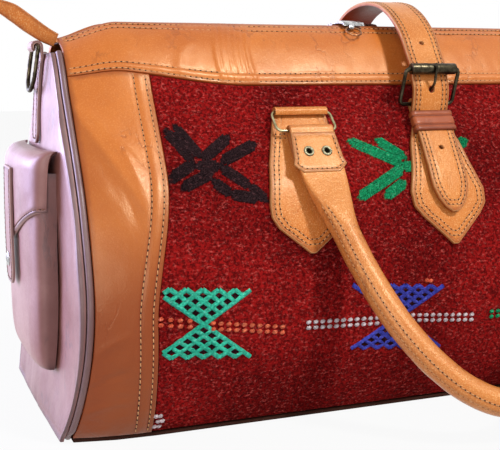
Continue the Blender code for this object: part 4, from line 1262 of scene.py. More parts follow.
@dataclass(frozen=True)
class WoolFinish(Finish):
    """Hand-spun wool, woven: its own colour, or the one that the panel's cells carry."""

    deep: Colour
    bright: Colour
    fleck: Colour
    from_cells: bool = False
    # How strongly the weave's hollows are darkened: painted shade.
    shade: float = 0.60
    strand: float = 0.0016
    # These two colours paint shade: between the strands and in the weave's hollows.
    between: Colour = (0.010, 0.004, 0.006)
    deepest: Colour = (0.012, 0.001, 0.002)
    roughness: float = 0.92
    specular: float = 0.04
    height: float = 0.0011
    bump: float = 0.85

    def nodes(self, effects: Effects, tree: Tree, shader: Node, place: Socket) -> None:
        """Builds the nodes."""
        wool = effect(tree, effects.wool, place, Strand=self.strand)
        clouds = ranged(tree, noise_at(tree, place, 9.0, 3.0), 0.38, 0.62)
        ground = blended(tree, clouds, self.deep, self.bright)
        strong = ranged(tree, wool.outputs["Strands"], 0.40, 0.62)
        ground = blended(tree, times(tree, strong, 0.75), blended(tree, 0.5, self.deep, ground), ground)
        ground = blended(tree, times(tree, wool.outputs["Flecks"], 0.55), ground, self.fleck)
        if self.from_cells:
            cell = put(tree, "ShaderNodeAttribute", attribute_name="wool")
            pale = times(tree, wool.outputs["Flecks"], 0.22)
            woven = blended(tree, pale, cell.outputs["Color"], self.fleck)
            # Painted shade: darker between the strands, where the bump is low.
            gaps = ranged(tree, wool.outputs["Strands"], 0.35, 0.60, 0.45, 0.0)
            woven = blended(tree, gaps, woven, self.between)
            ground = blended(tree, cell.outputs["Alpha"], ground, woven)
        # Painted shade: darker where the weave's Depth is low, which is where its bump is low too.
        deep = ranged(tree, wool.outputs["Depth"], 0.0, 1.0, self.shade, 0.0)
        ground = blended(tree, deep, ground, self.deepest)
        tree.links.new(ground, shader.inputs["Base Color"])
        shader.inputs["Roughness"].default_value = self.roughness
        shader.inputs["Specular IOR Level"].default_value = self.specular
        bumped(tree, shader, wool.outputs["Height"], self.height, self.bump)


@dataclass(frozen=True)
class MetalFinish(Finish):
    """Plated or raw metal with the marks of handling."""

    bright: Colour
    dull: Colour
    roughness: float
    metallic: float = 1.0
    scratches: float = 900.0
    tarnish_roughness: float = 0.18
    scratch_roughness: float = 0.07
    height: float = 0.00005
    bump: float = 0.25

    def nodes(self, effects: Effects, tree: Tree, shader: Node, place: Socket) -> None:
        """Builds the nodes."""
        worn = effect(tree, effects.wear, place, Scratches=self.scratches)
        colour = blended(tree, worn.outputs["Tarnish"], self.bright, self.dull)
        tree.links.new(colour, shader.inputs["Base Color"])
        tarnish = worn.outputs["Tarnish"]
        rough = math_node(tree, "MULTIPLY_ADD", tarnish, self.tarnish_roughness, self.roughness)
        rough = math_node(tree, "MULTIPLY_ADD", worn.outputs["Scratches"], self.scratch_roughness, rough)
        tree.links.new(rough, shader.inputs["Roughness"])
        shader.inputs["Metallic"].default_value = self.metallic
        bumped(tree, shader, worn.outputs["Scratches"], self.height, self.bump)


@dataclass(frozen=True)
class ClothFinish(Finish):
    """Plain woven cloth, tape, thread or board."""

    dark: Colour
    light: Colour
    yarn: float = 0.0006
    roughness: float = 0.85
    bump: float = 0.5
    depth_share: float = 0.25

    def nodes(self, effects: Effects, tree: Tree, shader: Node, place: Socket) -> None:
        """Builds the nodes."""
        worn = effect(tree, effects.wool, place, Strand=self.yarn)
        share = ranged(tree, worn.outputs["Strands"], 0.36, 0.64)
        colour = blended(tree, share, self.dark, self.light)
        colour = blended(tree, times(tree, worn.outputs["Depth"], self.depth_share), colour, self.dark)
        tree.links.new(colour, shader.inputs["Base Color"])
        shader.inputs["Roughness"].default_value = self.roughness
        bumped(tree, shader, worn.outputs["Height"], 0.4 * self.yarn, self.bump)


class Finishes:
    """Every material of the bag, by its place."""

    def __init__(self) -> None:
        """Builds them all."""
        self.effects = Effects()
        tan = dict(
            light=(0.640, 0.180, 0.027), middle=(0.520, 0.124, 0.017), dark=(0.235, 0.036, 0.006),
            roughness=0.36, edge=(0.520, 0.240, 0.090), coat=0.10, specular=0.62, tint=(1.0, 0.80, 0.50),
        )
        pale = dict(
            tan, light=(0.700, 0.235, 0.046), middle=(0.590, 0.170, 0.030),
            specular=0.42, grain=0.55, bump=0.60,
        )
        brown = dict(
            light=(0.270, 0.092, 0.068), middle=(0.185, 0.054, 0.036), dark=(0.036, 0.009, 0.006),
            roughness=0.46, edge=(0.420, 0.220, 0.170), coat=0.92, coat_roughness=0.52, specular=0.5,
            tint=(0.84, 0.80, 1.0), coat_index=1.75, grain=0.0,
        )
        self.tan = self.hide("tan hide", **tan)
        self.tan_cut = self.hide("tan hide with cut edges", **pale, cut_edge=True, creases=0.5)
        worn = dict(pale, specular=0.75, roughness=0.33, bump=0.80)
        self.tan_worn = self.hide("handled tan hide", **worn)
        self.brown = self.hide("brown hide", **brown)
        self.brown_cut = self.hide("brown hide with cut edges", **brown, cut_edge=True, creases=0.6)
        # The base panel's brown hide painted near black: painted shade under the bag.
        self.underside = self.hide(
            "underside", light=(0.060, 0.022, 0.014), middle=(0.040, 0.013, 0.008),
            dark=(0.014, 0.005, 0.003), roughness=0.80, edge=(0.05, 0.02, 0.01),
            coat=0.0, specular=0.10, grain=0.0,
        )
        self.keeper = self.hide(
            "red brown hide", light=(0.430, 0.105, 0.032), middle=(0.330, 0.068, 0.020),
            dark=(0.110, 0.020, 0.008), roughness=0.45, edge=(0.250, 0.090, 0.050),
            cut_edge=True, coat=0.3, grain=0.0,
        )
        red = dict(deep=(0.185, 0.0050, 0.005), bright=(0.400, 0.0115, 0.0110), fleck=(0.720, 0.130, 0.110))
        self.kilim = WoolFinish("woven kilim", **red, from_cells=True).made(self.effects)
        yarns = {
            "charcoal": ((0.022, 0.012, 0.014), (0.046, 0.023, 0.026), (0.150, 0.060, 0.066)),
            "green": ((0.008, 0.260, 0.100), (0.018, 0.440, 0.180), (0.100, 0.600, 0.320)),
            "turquoise": ((0.030, 0.520, 0.330), (0.075, 0.720, 0.480), (0.240, 0.860, 0.660)),
            "violet": ((0.050, 0.060, 0.430), (0.085, 0.095, 0.600), (0.180, 0.190, 0.720)),
            "dark green": ((0.006, 0.100, 0.045), (0.012, 0.180, 0.080), (0.050, 0.280, 0.150)),
            "salmon": ((0.800, 0.110, 0.050), (0.920, 0.220, 0.110), (0.950, 0.400, 0.260)),
            "white": ((0.700, 0.560, 0.590), (0.860, 0.760, 0.780), (0.920, 0.880, 0.880)),
        }
        self.yarns = {
            name: WoolFinish(f"{name} wool", *colours, shade=0.25).made(self.effects)
            for name, colours in yarns.items()
        }
        self.antique = self.metal("antique metal", (0.085, 0.070, 0.042), (0.018, 0.015, 0.010), 0.26)
        self.brass = self.metal("pale brass", (0.560, 0.510, 0.300), (0.250, 0.220, 0.110), 0.24)
        self.eyelet = self.metal("dull eyelet", (0.300, 0.280, 0.180), (0.120, 0.110, 0.070), 0.34)
        self.silver = self.metal("bright plate", (0.700, 0.700, 0.700), (0.040, 0.038, 0.037), 0.10)
        self.copper = self.metal("copper wire", (0.480, 0.230, 0.110), (0.180, 0.075, 0.035), 0.30)
        self.thread = self.cloth("tan thread", (0.560, 0.270, 0.100), (0.800, 0.470, 0.220), 0.0004)
        self.dark_thread = self.cloth("brown thread", (0.140, 0.052, 0.026), (0.260, 0.110, 0.060), 0.0004)
        # Needle holes are dark beads: painted shade in the holes.
        self.hole = self.cloth("needle hole", (0.020, 0.007, 0.003), (0.050, 0.017, 0.006), 0.0004)
        self.tape = self.cloth("zip tape", (0.050, 0.022, 0.014), (0.120, 0.055, 0.034), 0.0006)
        self.teeth = self.metal("zip teeth", (0.420, 0.330, 0.190), (0.170, 0.120, 0.060), 0.32)
        self.board = self.cloth("stiff board", (0.210, 0.165, 0.115), (0.330, 0.265, 0.190), 0.0009)
        self.lining = self.cloth("lining cloth", (0.090, 0.050, 0.030), (0.160, 0.095, 0.062), 0.0005)

    def hide(self, name: str, **look: object) -> Material:
        """A hide's material, by its looks."""
        return HideFinish(name, **look).made(self.effects)

    def metal(self, name: str, bright: Colour, dull: Colour, roughness: float) -> Material:
        """A metal's material."""
        return MetalFinish(name, bright, dull, roughness).made(self.effects)

    def cloth(self, name: str, dark: Colour, light: Colour, yarn: float) -> Material:
        """A cloth's or thread's material."""
        return ClothFinish(name, dark, light, yarn).made(self.effects)


# What every sub-assembly shares


@dataclass
class Workshop:
    """The tools and finishes that the sub-assemblies are made with."""

    kit: Kit
    finishes: Finishes

    def stitch(
        self, name: str, lines: Sequence[Line], body: str, slot: str,
        pitch: float = 0.0039, dark: bool = False,
    ) -> None:
        """Sews lines: the threads, and between them dark beads that paint the shade in the needle holes.

        Args:
            name: The seam's name.
            lines: Its lines.
            body: The body that it rides on.
            slot: The record's material slot.
            pitch: Distance from stitch to stitch.
            dark: Whether the thread is the dark one.
        """
        thread = self.finishes.dark_thread if dark else self.finishes.thread
        threads = self.kit.threads(name + "_stitches", lines, thread, pitch=pitch, length=0.84 * pitch)
        dressed(threads, body, slot)
        dressed(self.kit.pits(name + "_needle_holes", lines, self.finishes.hole, pitch=pitch), body, slot)


def pressed(lay: Placer, places: Sequence[Point2], lift: float, step: float = 0.0015) -> Line:
    """A stitch line laid on a surface.

    Args:
        lay: The surface.
        places: The line's places on it.
        lift: How far off the surface it lies.
        step: How close its points are.

    Returns:
        Points with their outward directions.
    """
    points = [lay(a, b, lift) for a, b in places]
    outs = [(lay(a, b, lift + 0.001) - lay(a, b, lift)).normalized() for a, b in places]
    line, where = resampled(points, step)
    found = []
    for point, place in zip(line, where):
        i = min(int(place), len(outs) - 2)
        found.append((point, outs[i].lerp(outs[i + 1], place - i)))
    return found


def dressed(piece: Piece, body: str, slot: str, *nodes: str) -> Piece:
    """Puts a piece on its body, in place of CAD nodes.

    Args:
        piece: The piece.
        body: The body that it rides on.
        slot: The record's material slot; not used.
        nodes: The nodes that it stands for.

    Returns:
        The piece.
    """
    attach(piece, body)
    if nodes:
        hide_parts(*nodes)
    LOG.info("%s on %s: %d faces", piece.name, body, len(piece.data.polygons))
    return piece


@dataclass
class SubAssembly:
    """A group of pieces made together."""

    shop: Workshop

    @property
    def kit(self) -> Kit:
        """The trees."""
        return self.shop.kit

    @property
    def finishes(self) -> Finishes:
        """The materials."""
        return self.shop.finishes

    def hide(
        self, shape: Sheet | Shell, finish: Material, node: str, body: str = "bag", slot: str = "tan_leather",
        sharp: float = 60.0,
    ) -> Piece:
        """Dresses a node in hide, in a piece named after it.

        Args:
            shape: The hide's sheet or mesh.
            finish: Its material.
            node: The node that it stands for.
            body: The body that it rides on.
            slot: The record's material slot.
            sharp: Edges steeper than this many degrees stay sharp.

        Returns:
            The piece.
        """
        shell = shape.shell() if isinstance(shape, Sheet) else shape
        return dressed(shell.made(node + "_hide", finish, sharp), body, slot, node)

    def build(self) -> None:
        """Makes and dresses the pieces."""
        raise NotImplementedError


# The body: kilim, strips, bands, ends


Stroke = tuple[Point2, Point2]
WOOLS: dict[str, Colour] = {
    "charcoal": (0.020, 0.012, 0.014),
    "green": (0.010, 0.270, 0.105),
    # Near black: a dark ground with painted shade in the lattice holes.
    "ground": (0.022, 0.005, 0.009),
}


def stroke_distance(a: float, b: float, stroke: Stroke) -> tuple[float, float]:
    """Distance of a place from a woven leaf's middle line, and where along it.

    Args:
        a: The place along the bag.
        b: Its height.
        stroke: The stroke's ends.

    Returns:
        The distance, and the share of the way along.
    """
    (x0, z0), (x1, z1) = stroke
    along, rise = x1 - x0, z1 - z0
    share = ((a - x0) * along + (b - z0) * rise) / (along * along + rise * rise)
    share = min(1.0, max(0.0, share))
    return math.hypot(a - x0 - share * along, b - z0 - share * rise), share


@dataclass(frozen=True)
class Cross:
    """A woven cross of eight leaves, two to an arm."""

    strokes: tuple[Stroke, ...]
    wool: str
    half_width: float = 0.0041
    row: float = 0.0016

    def covers(self, a: float, b: float) -> bool:
        """Whether its wool shows at a place."""
        for stroke in self.strokes:
            distance, share = stroke_distance(a, b, stroke)
            if distance < self.half_width * (0.60 + 0.40 * math.sin(math.pi * share)):
                return True
        return False

    def yarns(self) -> list[list[Point2]]:
        """Five rows of stitches along each leaf, the outer ones shorter."""
        found = []
        for (x0, z0), (x1, z1) in self.strokes:
            length = math.hypot(x1 - x0, z1 - z0)
            along, rise = (x1 - x0) / length, (z1 - z0) / length
            for k in (-2, -1, 0, 1, 2):
                off, start = k * self.row, 0.0015 * abs(k)
                if length > 2 * start + 0.004:
                    places = spread(start, length - start, max(3, round(length / 0.004)))
                    found.append([(x0 + along * s - rise * off, z0 + rise * s + along * off) for s in places])
        return found


@dataclass(frozen=True)
class Hourglass:
    """Two toothed triangles tip to tip, woven as a lattice over a dark ground, painted near black as the
    shade in its holes.
    """

    centre: Point2
    wool: str
    teeth: int
    pitch: float = 0.0122
    half_height: float = 0.0252
    slope: float = -0.085
    strand: float = 0.00205

    def covers(self, a: float, b: float) -> bool:
        """Whether its wool shows at a place."""
        x = a - self.centre[0]
        z = b - self.centre[1] - self.slope * x
        row_height = self.half_height / (self.teeth + 0.6)
        rise = abs(z)
        half = 0.0022 + rise / self.half_height * (self.teeth * self.pitch / 2)
        return abs(x) < half - 0.002 and rise < self.half_height - 0.8 * row_height

    def yarns(self) -> list[list[Point2]]:
        """The diagonal yarns of both triangles, as lines of places."""
        found = []
        step = self.half_height / self.teeth
        for sign in (-1, 1):
            for start in range(self.teeth):
                for lean in (-1, 1):
                    line = []
                    for k in spread(0.0, self.teeth - start, 4 * (self.teeth - start) + 1):
                        x = lean * (-start / 2 + k / 2) * self.pitch
                        z = self.centre[1] + self.slope * x + sign * (start + k) * step
                        line.append((self.centre[0] + x, z))
                    found.append(line)
        return found


@dataclass
class KilimPanel(SubAssembly):
    """The woven panel of one face, with its motifs and rows of wool knots."""

    side: Side = Side.FRONT
    cell: float = 0.00165
    thickness: float = 0.003
    pile: float = 0.00055
    weft: float = 0.0042
    motif_rise: float = 0.00050
    lattice_inset: float = 0.0018
    lattice_lift: float = -0.0007
    leaf_inset: float = 0.0025
    leaf_lift: float = 0.0003
    knot_pitch: float = 0.0056
    knot_lift: float = 0.0004
    crosses: tuple[Cross, ...] = (
        Cross((
            ((-0.2244, 0.2240), (-0.2088, 0.2036)), ((-0.2167, 0.2268), (-0.2019, 0.2058)),
            ((-0.1997, 0.2039), (-0.1765, 0.2188)), ((-0.1851, 0.2017), (-0.1563, 0.2134)),
            ((-0.2290, 0.1899), (-0.2081, 0.2007)), ((-0.2190, 0.1844), (-0.1953, 0.1938)),
            ((-0.1868, 0.1971), (-0.1674, 0.1834)), ((-0.1674, 0.1834), (-0.1562, 0.1730)),
            ((-0.1952, 0.1880), (-0.1831, 0.1783)), ((-0.1831, 0.1783), (-0.1626, 0.1744)),
            ((-0.2060, 0.1985), (-0.1880, 0.1985)),
        ), "charcoal"),
        Cross((
            ((-0.0757, 0.2134), (-0.0347, 0.1952)), ((-0.0511, 0.2136), (-0.0305, 0.1997)),
            ((-0.0783, 0.1716), (-0.0359, 0.1914)), ((-0.0551, 0.1714), (-0.0362, 0.1814)),
            ((0.0313, 0.2116), (-0.0100, 0.1952)), ((0.0070, 0.2136), (-0.0150, 0.1997)),
            ((0.0315, 0.1668), (-0.0100, 0.1900)), ((0.0090, 0.1690), (-0.0120, 0.1814)),
            ((-0.0347, 0.1930), (-0.0120, 0.1925)),
        ), "green"),
        Cross((
            ((0.1180, 0.2110), (0.1340, 0.1940)), ((0.1280, 0.2140), (0.1410, 0.1970)),
            ((0.1430, 0.1950), (0.1660, 0.2090)), ((0.1560, 0.1920), (0.1850, 0.2040)),
            ((0.1120, 0.1800), (0.1330, 0.1900)), ((0.1230, 0.1740), (0.1460, 0.1840)),
            ((0.1550, 0.1870), (0.1850, 0.1640)), ((0.1460, 0.1790), (0.1760, 0.1640)),
            ((0.1340, 0.1885), (0.1520, 0.1885)),
        ), "charcoal"),
    )
    hourglasses: tuple[Hourglass, ...] = (
        Hourglass((-0.2130, 0.0882), "turquoise", 6),
        Hourglass((-0.0530, 0.0790), "violet", 7, pitch=0.0114, strand=0.0021),
        Hourglass((0.1180, 0.0750), "dark green", 7, pitch=0.0114, strand=0.0021),
    )
    knots: tuple[tuple[Point2, Point2, str], ...] = (
        ((-0.2449, 0.0927), (-0.2235, 0.0895), "salmon"), ((-0.2060, 0.0864), (-0.1514, 0.0785), "salmon"),
        ((-0.1300, 0.0800), (-0.0720, 0.0780), "white"), ((-0.0405, 0.0775), (0.0140, 0.0730), "white"),
        ((0.0330, 0.0738), (0.1050, 0.0738), "green"), ((0.1310, 0.0735), (0.1900, 0.0715), "salmon"),
    )
    knot_spacing: float = 0.0043
    marks: tuple[tuple[Point2, Point2, str], ...] = (
        ((-0.2455, 0.0190), (-0.2425, 0.0190), "white"), ((-0.2435, 0.0142), (-0.2405, 0.0142), "white"),
        ((-0.2455, 0.0096), (-0.2425, 0.0096), "white"), ((-0.0280, 0.1060), (-0.0245, 0.1055), "salmon"),
    )

    def wool_at(self, a: float, b: float) -> str | None:
        """The wool that shows at a place.

        Args:
            a: Place along the bag.
            b: Height.

        Returns:
            The wool's name, or None for the red ground.
        """
        wave = 0.0006 * ripple(a, b, 0.0, 0.006, 5.0)
        for cross in self.crosses:
            if cross.covers(a + wave, b + 0.6 * wave):
                return cross.wool
        for hourglass in self.hourglasses:
            if hourglass.covers(a, b):
                # The hourglass's holes take the near-black ground: painted shade over a dark ground.
                return "ground"
        return None

    def weave(self, a: float, b: float, rim: float) -> float:
        """The height of the wool: weft ribs, uneven tufts, and raised motifs."""
        rib = 0.30 * math.sin(FULL_TURN * (b / self.weft + 0.8 * ripple(a, b, 0.0, 0.020, 2.0)))
        tuft = 0.8 * ripple(a * 0.55, b, 0.0, 0.0034, 3.0) + 0.5 * ripple(a, b, 0.0, 0.0021, 6.0)
        slack = 0.0009 * ripple(a, b, 0.0, 0.060, 8.0)
        raised = self.motif_rise if self.wool_at(a, b) else 0.0
        return self.pile * (rib + tuft) + slack + raised

    def build(self) -> None:
        """The panel, its motifs and, on the front, its knots."""
        side = self.side
        low, edge = SKIN.foot, GAP / 2

        def at(s: float, t: float) -> Point2:
            """Coordinates of the panel's cut, which follows the strips and the band."""
            z = low + t * (SKIN.band_low(0.0) - low)
            for _ in range(3):
                x = (2 * s - 1) * (SKIN.kilim_edge(z) - edge)
                z = low + t * (SKIN.band_low(x) - GAP - low)
            return x, z

        def lay(x: float, z: float, lift: float) -> Vector:
            """The face of the bag."""
            return SKIN.face(x, z, side, lift)

        sheet = Sheet(
            lay, at, 0.475, 0.272, outer=0.0, thickness=self.thickness, step=self.cell,
            rounding=0.0012, relief=self.weave,
        )
        panel = sheet.shell().made(f"{side.word}_kilim", self.finishes.kilim)
        self.colour(panel)
        dressed(panel, "bag", "kilim_red", f"{side.word}_kilim_panel")
        self.embroider(lay)
        if side is Side.FRONT:
            self.tie_knots(lay)

    def within(self, yarn: Sequence[Point2], inset: float) -> list[Point2]:
        """The places of a yarn that lie on the panel, so far in from its edge."""
        return [(a, b) for a, b in yarn if abs(a) < SKIN.kilim_edge(b) - inset]

    def embroider(self, lay: Placer) -> None:
        """The raised yarns of the motifs, one piece for each wool and kind.

        Args:
            lay: The face of the bag.
        """
        for hourglass in self.hourglasses:
            lines = []
            for yarn in hourglass.yarns():
                inside = self.within(yarn, self.lattice_inset)
                if len(inside) > 2:
                    lines.append([point for point, _ in pressed(lay, inside, self.lattice_lift, 0.0018)])
            name = f"{self.side.word}_{hourglass.wool.replace(' ', '_')}_lattice"
            finish = self.finishes.yarns[hourglass.wool]
            dressed(self.kit.wires(name, lines, hourglass.strand, finish, sides=7), "bag", "kilim_red")
        for wool in ("charcoal", "green"):
            lines = []
            for cross in self.crosses:
                if cross.wool == wool:
                    for yarn in cross.yarns():
                        inside = self.within(yarn, self.leaf_inset)
                        if len(inside) > 2:
                            lines.append(pressed(lay, inside, self.leaf_lift))
            leaves = self.kit.threads(
                f"{self.side.word}_{wool}_leaves", lines, self.finishes.yarns[wool],
                pitch=0.0021, length=0.0036, width=0.0023, slant=0.55,
            )
            dressed(leaves, "bag", "kilim_red")

    def colour(self, panel: Piece) -> None:
        """Gives each point of the panel the colour of its wool.

        Args:
            panel: The panel's object.
        """
        flat = [(0.0, 0.0)] * len(panel.data.vertices)
        places = panel.data.uv_layers["flat"].data
        for loop in panel.data.loops:
            flat[loop.vertex_index] = tuple(places[loop.index].uv)
        shades = []
        for a, b in flat:
            wool = self.wool_at(a, b)
            shades += (*WOOLS[wool], 1.0) if wool else (0.0, 0.0, 0.0, 0.0)
        wools = panel.data.attributes.new("wool", "FLOAT_COLOR", "POINT")
        wools.data.foreach_set("color", shades)

    def tie_knots(self, lay: Placer) -> None:
        """The double rows of raised knots and the loose marks on the front, one piece for each wool.

        Args:
            lay: The face of the bag.
        """
        for wool in ("salmon", "white", "green"):
            lines = []
            for start, stop, name in self.knots:
                if name != wool:
                    continue
                for shift in (-self.knot_spacing / 2, self.knot_spacing / 2):
                    places = [
                        (start[0] + (stop[0] - start[0]) * u, start[1] + (stop[1] - start[1]) * u + shift)
                        for u in spread(0.0, 1.0, 12)
                    ]
                    lines.append(pressed(lay, places, self.knot_lift))
            for start, stop, name in self.marks:
                if name == wool:
                    lines.append(pressed(lay, [start, stop], self.knot_lift))
            knots = self.kit.threads(
                f"{wool}_knots", lines, self.finishes.yarns[wool],
                pitch=self.knot_pitch, length=0.0047, width=0.0035, slant=0.25,
            )
            dressed(knots, "bag", "kilim_red")


@dataclass(frozen=True)
class Fold:
    """A crease or a roll in the hide, along a line."""

    start: Point2
    stop: Point2
    width: float
    height: float
    fine: float = 0.0

    def at(self, a: float, b: float) -> float:
        """Its height at a place, with fine wrinkles along it."""
        (x0, z0), (x1, z1) = self.start, self.stop
        length = math.hypot(x1 - x0, z1 - z0)
        share = ((a - x0) * (x1 - x0) + (b - z0) * (z1 - z0)) / length**2
        if not -0.3 < share < 1.3:
            return 0.0
        off = ((a - x0) * (z1 - z0) - (b - z0) * (x1 - x0)) / length + 0.004 * math.sin(3.0 * share)
        fade = smooth_step((share + 0.2) / 0.3) * smooth_step((1.2 - share) / 0.3)
        height = self.height * hump(off, self.width)
        if self.fine:
            lines = ripple(share * length * 0.16, off, 0.0, 0.0026, 3.0)
            height += self.fine * lines * hump(off, 1.7 * self.width)
        return fade * height


@dataclass
class BodyLeather(SubAssembly):
    """The strips, bands, end panels, piping and seams of the body."""

    kilim_rows: tuple[float, float] = (0.0040, 0.0130)
    band_rows: tuple[float, float] = (0.0038, 0.0128)
    mouth_rows: tuple[float, float] = (0.0042, 0.0098)
    band_width: float = 0.074
    groove: float = 0.00045
    mouth_groove: float = 0.00040
    groove_width: float = 0.0011
    kilim_ridge: float = 0.0085
    band_ridge: float = 0.0083
    ridge: float = 0.0005
    ridge_width: float = 0.0040
    stand: float = 0.0010
    strip_folds: tuple[Fold, ...] = (
        Fold((-0.281, 0.241), (-0.240, 0.170), 0.0065, 0.0016, 0.00060),
        Fold((-0.290, 0.222), (-0.250, 0.152), 0.0070, -0.0011, 0.00030),
        Fold((-0.300, 0.060), (-0.262, 0.085), 0.0030, 0.0007),
        Fold((-0.300, 0.040), (-0.256, 0.058), 0.0028, -0.0007),
        Fold((-0.302, 0.022), (-0.262, 0.032), 0.0026, 0.0006),
    )
    band_folds: tuple[Fold, ...] = (
        *(
            Fold((x, 0.261), (x + 0.003, 0.302), 0.0016, 0.0010)
            for x in (-0.170, -0.1648, -0.1600, -0.1548, -0.1500, -0.1440)
        ),
        Fold((-0.205, 0.270), (-0.190, 0.290), 0.0040, 0.0005),
        Fold((0.030, 0.262), (0.046, 0.300), 0.0040, -0.0005),
        Fold((0.120, 0.262), (0.124, 0.300), 0.0030, 0.0006),
    )

    def build(self) -> None:
        """All the leather of the body."""
        for side in Side:
            self.band(side)
            for end in End:
                self.strip(side, end)
        for end in End:
            self.end_panel(end)
        self.pipings()
        self.seams()

    def face(self, side: Side) -> Placer:
        """The surface of a face, as a lay."""
        return lambda x, z, lift: SKIN.face(x, z, side, lift)

    def in_band(self, x: float, z: float) -> Point2:
        """Distances of a place from the band's lower and upper edge."""
        low = SKIN.band_low(x)
        share = (z - low) / (SKIN.height - low)
        return share * self.band_width, (1.0 - share) * self.band_width

    def strip(self, side: Side, end: End) -> None:
        """A leather strip between the kilim and the end seam.

        Args:
            side: Front or back.
            end: Left or right.
        """

        def at(s: float, t: float) -> Point2:
            """Coordinates of the strip's cut, from the kilim's edge to the seam."""
            x, z = 0.0, SKIN.foot + t * 0.26
            for _ in range(3):
                inner, outer = SKIN.kilim_edge(z) + GAP / 2, SKIN.seam_edge(z)
                x = inner + s * (outer - inner)
                z = SKIN.foot + t * (SKIN.band_low(x) - GAP - SKIN.foot)
            return end.value * x, z

        def relief(x: float, z: float, rim: float) -> float:
            """Stitch grooves beside the kilim, folds and soft wrinkles."""
            off = abs(x) - SKIN.kilim_edge(z)
            height = 0.0
            for inset in self.kilim_rows:
                height -= self.groove * hump(off - inset, self.groove_width)
            height += self.ridge * hump(off - self.kilim_ridge, self.ridge_width)
            if side is Side.FRONT and end is End.LEFT:
                folds = sum(fold.at(x, z) for fold in self.strip_folds)
                height += smooth_step((off - 0.0140) / 0.012) * folds
            low = smooth_step((0.14 - z) / 0.12)
            height += 0.0004 * (0.4 + low) * ripple(x, z, side.value, 0.012, 2.0)
            height += 0.0003 * low * ripple(x * 0.4, z, side.value, 0.004, 7.0)
            return height + 0.0009 * ripple(x, z, side.value, 0.050, 3.0)

        def tone(x: float, z: float, rim: float) -> float:
            """Darker in the stitch rows, and painted shade towards the seam and the foot and, on the front
            left strip, below the crease.
            """
            off = abs(x) - SKIN.kilim_edge(z)
            rows = in_rows(off, self.kilim_rows, 0.0012)
            # Painted shade: darker near the seam, at the foot.
            seam = smooth_step(1.0 - (SKIN.seam_edge(z) - abs(x)) / 0.020)
            foot = smooth_step((0.15 - z) / 0.15)
            # Painted shade: darker towards the foot, where the face turns down from the light.
            worn = 0.84 * smooth_step((0.235 - z) / 0.15)
            if side is Side.FRONT and end is End.LEFT:
                # Painted shade below the diagonal crease.
                crease = 0.236 - 1.73 * (x + 0.281)
                worn = max(worn, 0.42 * smooth_step((crease - z) / 0.014))
            return min(1.0, 0.28 * rows + 0.20 * seam * foot + worn)

        sheet = Sheet(
            self.face(side), at, 0.058, 0.262, outer=self.stand, thickness=SKIN.leather,
            relief=relief, tone=tone, step=0.0017, rounding=0.0012,
        )
        self.hide(sheet, self.finishes.tan, f"{side.word}_{end.word}_strip")

    def band(self, side: Side) -> None:
        """The leather band between a face and the zip.

        Args:
            side: Front or back.
        """

        def at(s: float, t: float) -> Point2:
            """Coordinates of the band's cut."""
            x = (2 * s - 1) * SKIN.seam_edge(SKIN.height)
            low = SKIN.band_low(x)
            return x, low + t * (SKIN.height - low)

        def relief(x: float, z: float, rim: float) -> float:
            """Double stitch grooves along both edges and a few puckers."""
            up, down = self.in_band(x, z)
            height = 0.0
            for inset in self.band_rows:
                height -= self.groove * hump(up - inset, self.groove_width)
            for inset in self.mouth_rows:
                height -= self.mouth_groove * hump(down - inset, self.groove_width)
            height += self.ridge * hump(up - self.band_ridge, self.ridge_width)
            height += sum(fold.at(x, z) for fold in self.band_folds)
            height += 0.00022 * ripple(x, z * 0.4, side.value, 0.009, 1.0)
            return height + 0.0007 * ripple(x, z, side.value, 0.045, 5.0)

        def tone(x: float, z: float, rim: float) -> float:
            """Darker along the stitch rows."""
            up, down = self.in_band(x, z)
            rows = 0.9 * in_rows(up, self.band_rows, 0.0013)
            rows += in_rows(down, self.mouth_rows, 0.0013)
            return min(1.0, 0.30 * rows + 0.12 * smooth_step(1.0 - down / 0.010))

        sheet = Sheet(
            self.face(side), at, 0.580, self.band_width, outer=self.stand, thickness=SKIN.leather,
            relief=relief, tone=tone, step=0.0019, rounding=0.0014,
        )
        self.hide(sheet, self.finishes.tan, f"{side.word}_top_band")

    def end_panel(self, end: End) -> None:
        """The soft end of the bag.

        Args:
            end: Left or right.
        """

        def at(s: float, t: float) -> Point2:
            """Coordinates of the end panel's cut."""
            z = 5 * GAP + t * (SKIN.end_top * SKIN.height - 5 * GAP)
            half = SKIN.seam_depth_at(max(z, SKIN.foot)) - 0.001
            return (2 * s - 1) * half, z

        def lay(y: float, z: float, lift: float) -> Vector:
            """The surface of the end."""
            return SKIN.end(y, z, end, lift)

        def relief(y: float, z: float, rim: float) -> float:
            """Slack hide: broad swells, and wrinkles that run down from the top."""
            height = 0.0022 * ripple(y, z * 0.7, end.value, 0.055, 4.0)
            height += 0.0009 * ripple(y, z * 0.35, end.value, 0.016, 6.0)
            return height - 0.0006 * hump(rim - 0.0045, 0.0013)

        def tone(y: float, z: float, rim: float) -> float:
            """Darker at the foot."""
            return 0.35 * smooth_step((0.10 - z) / 0.10)

        sheet = Sheet(
            lay, at, 0.250, 0.290, outer=SKIN.leather, thickness=SKIN.leather,
            relief=relief, tone=tone, step=0.0024, rounding=0.0014,
        )
        self.hide(sheet, self.finishes.brown, f"{end.word}_end_panel", slot="brown_leather")

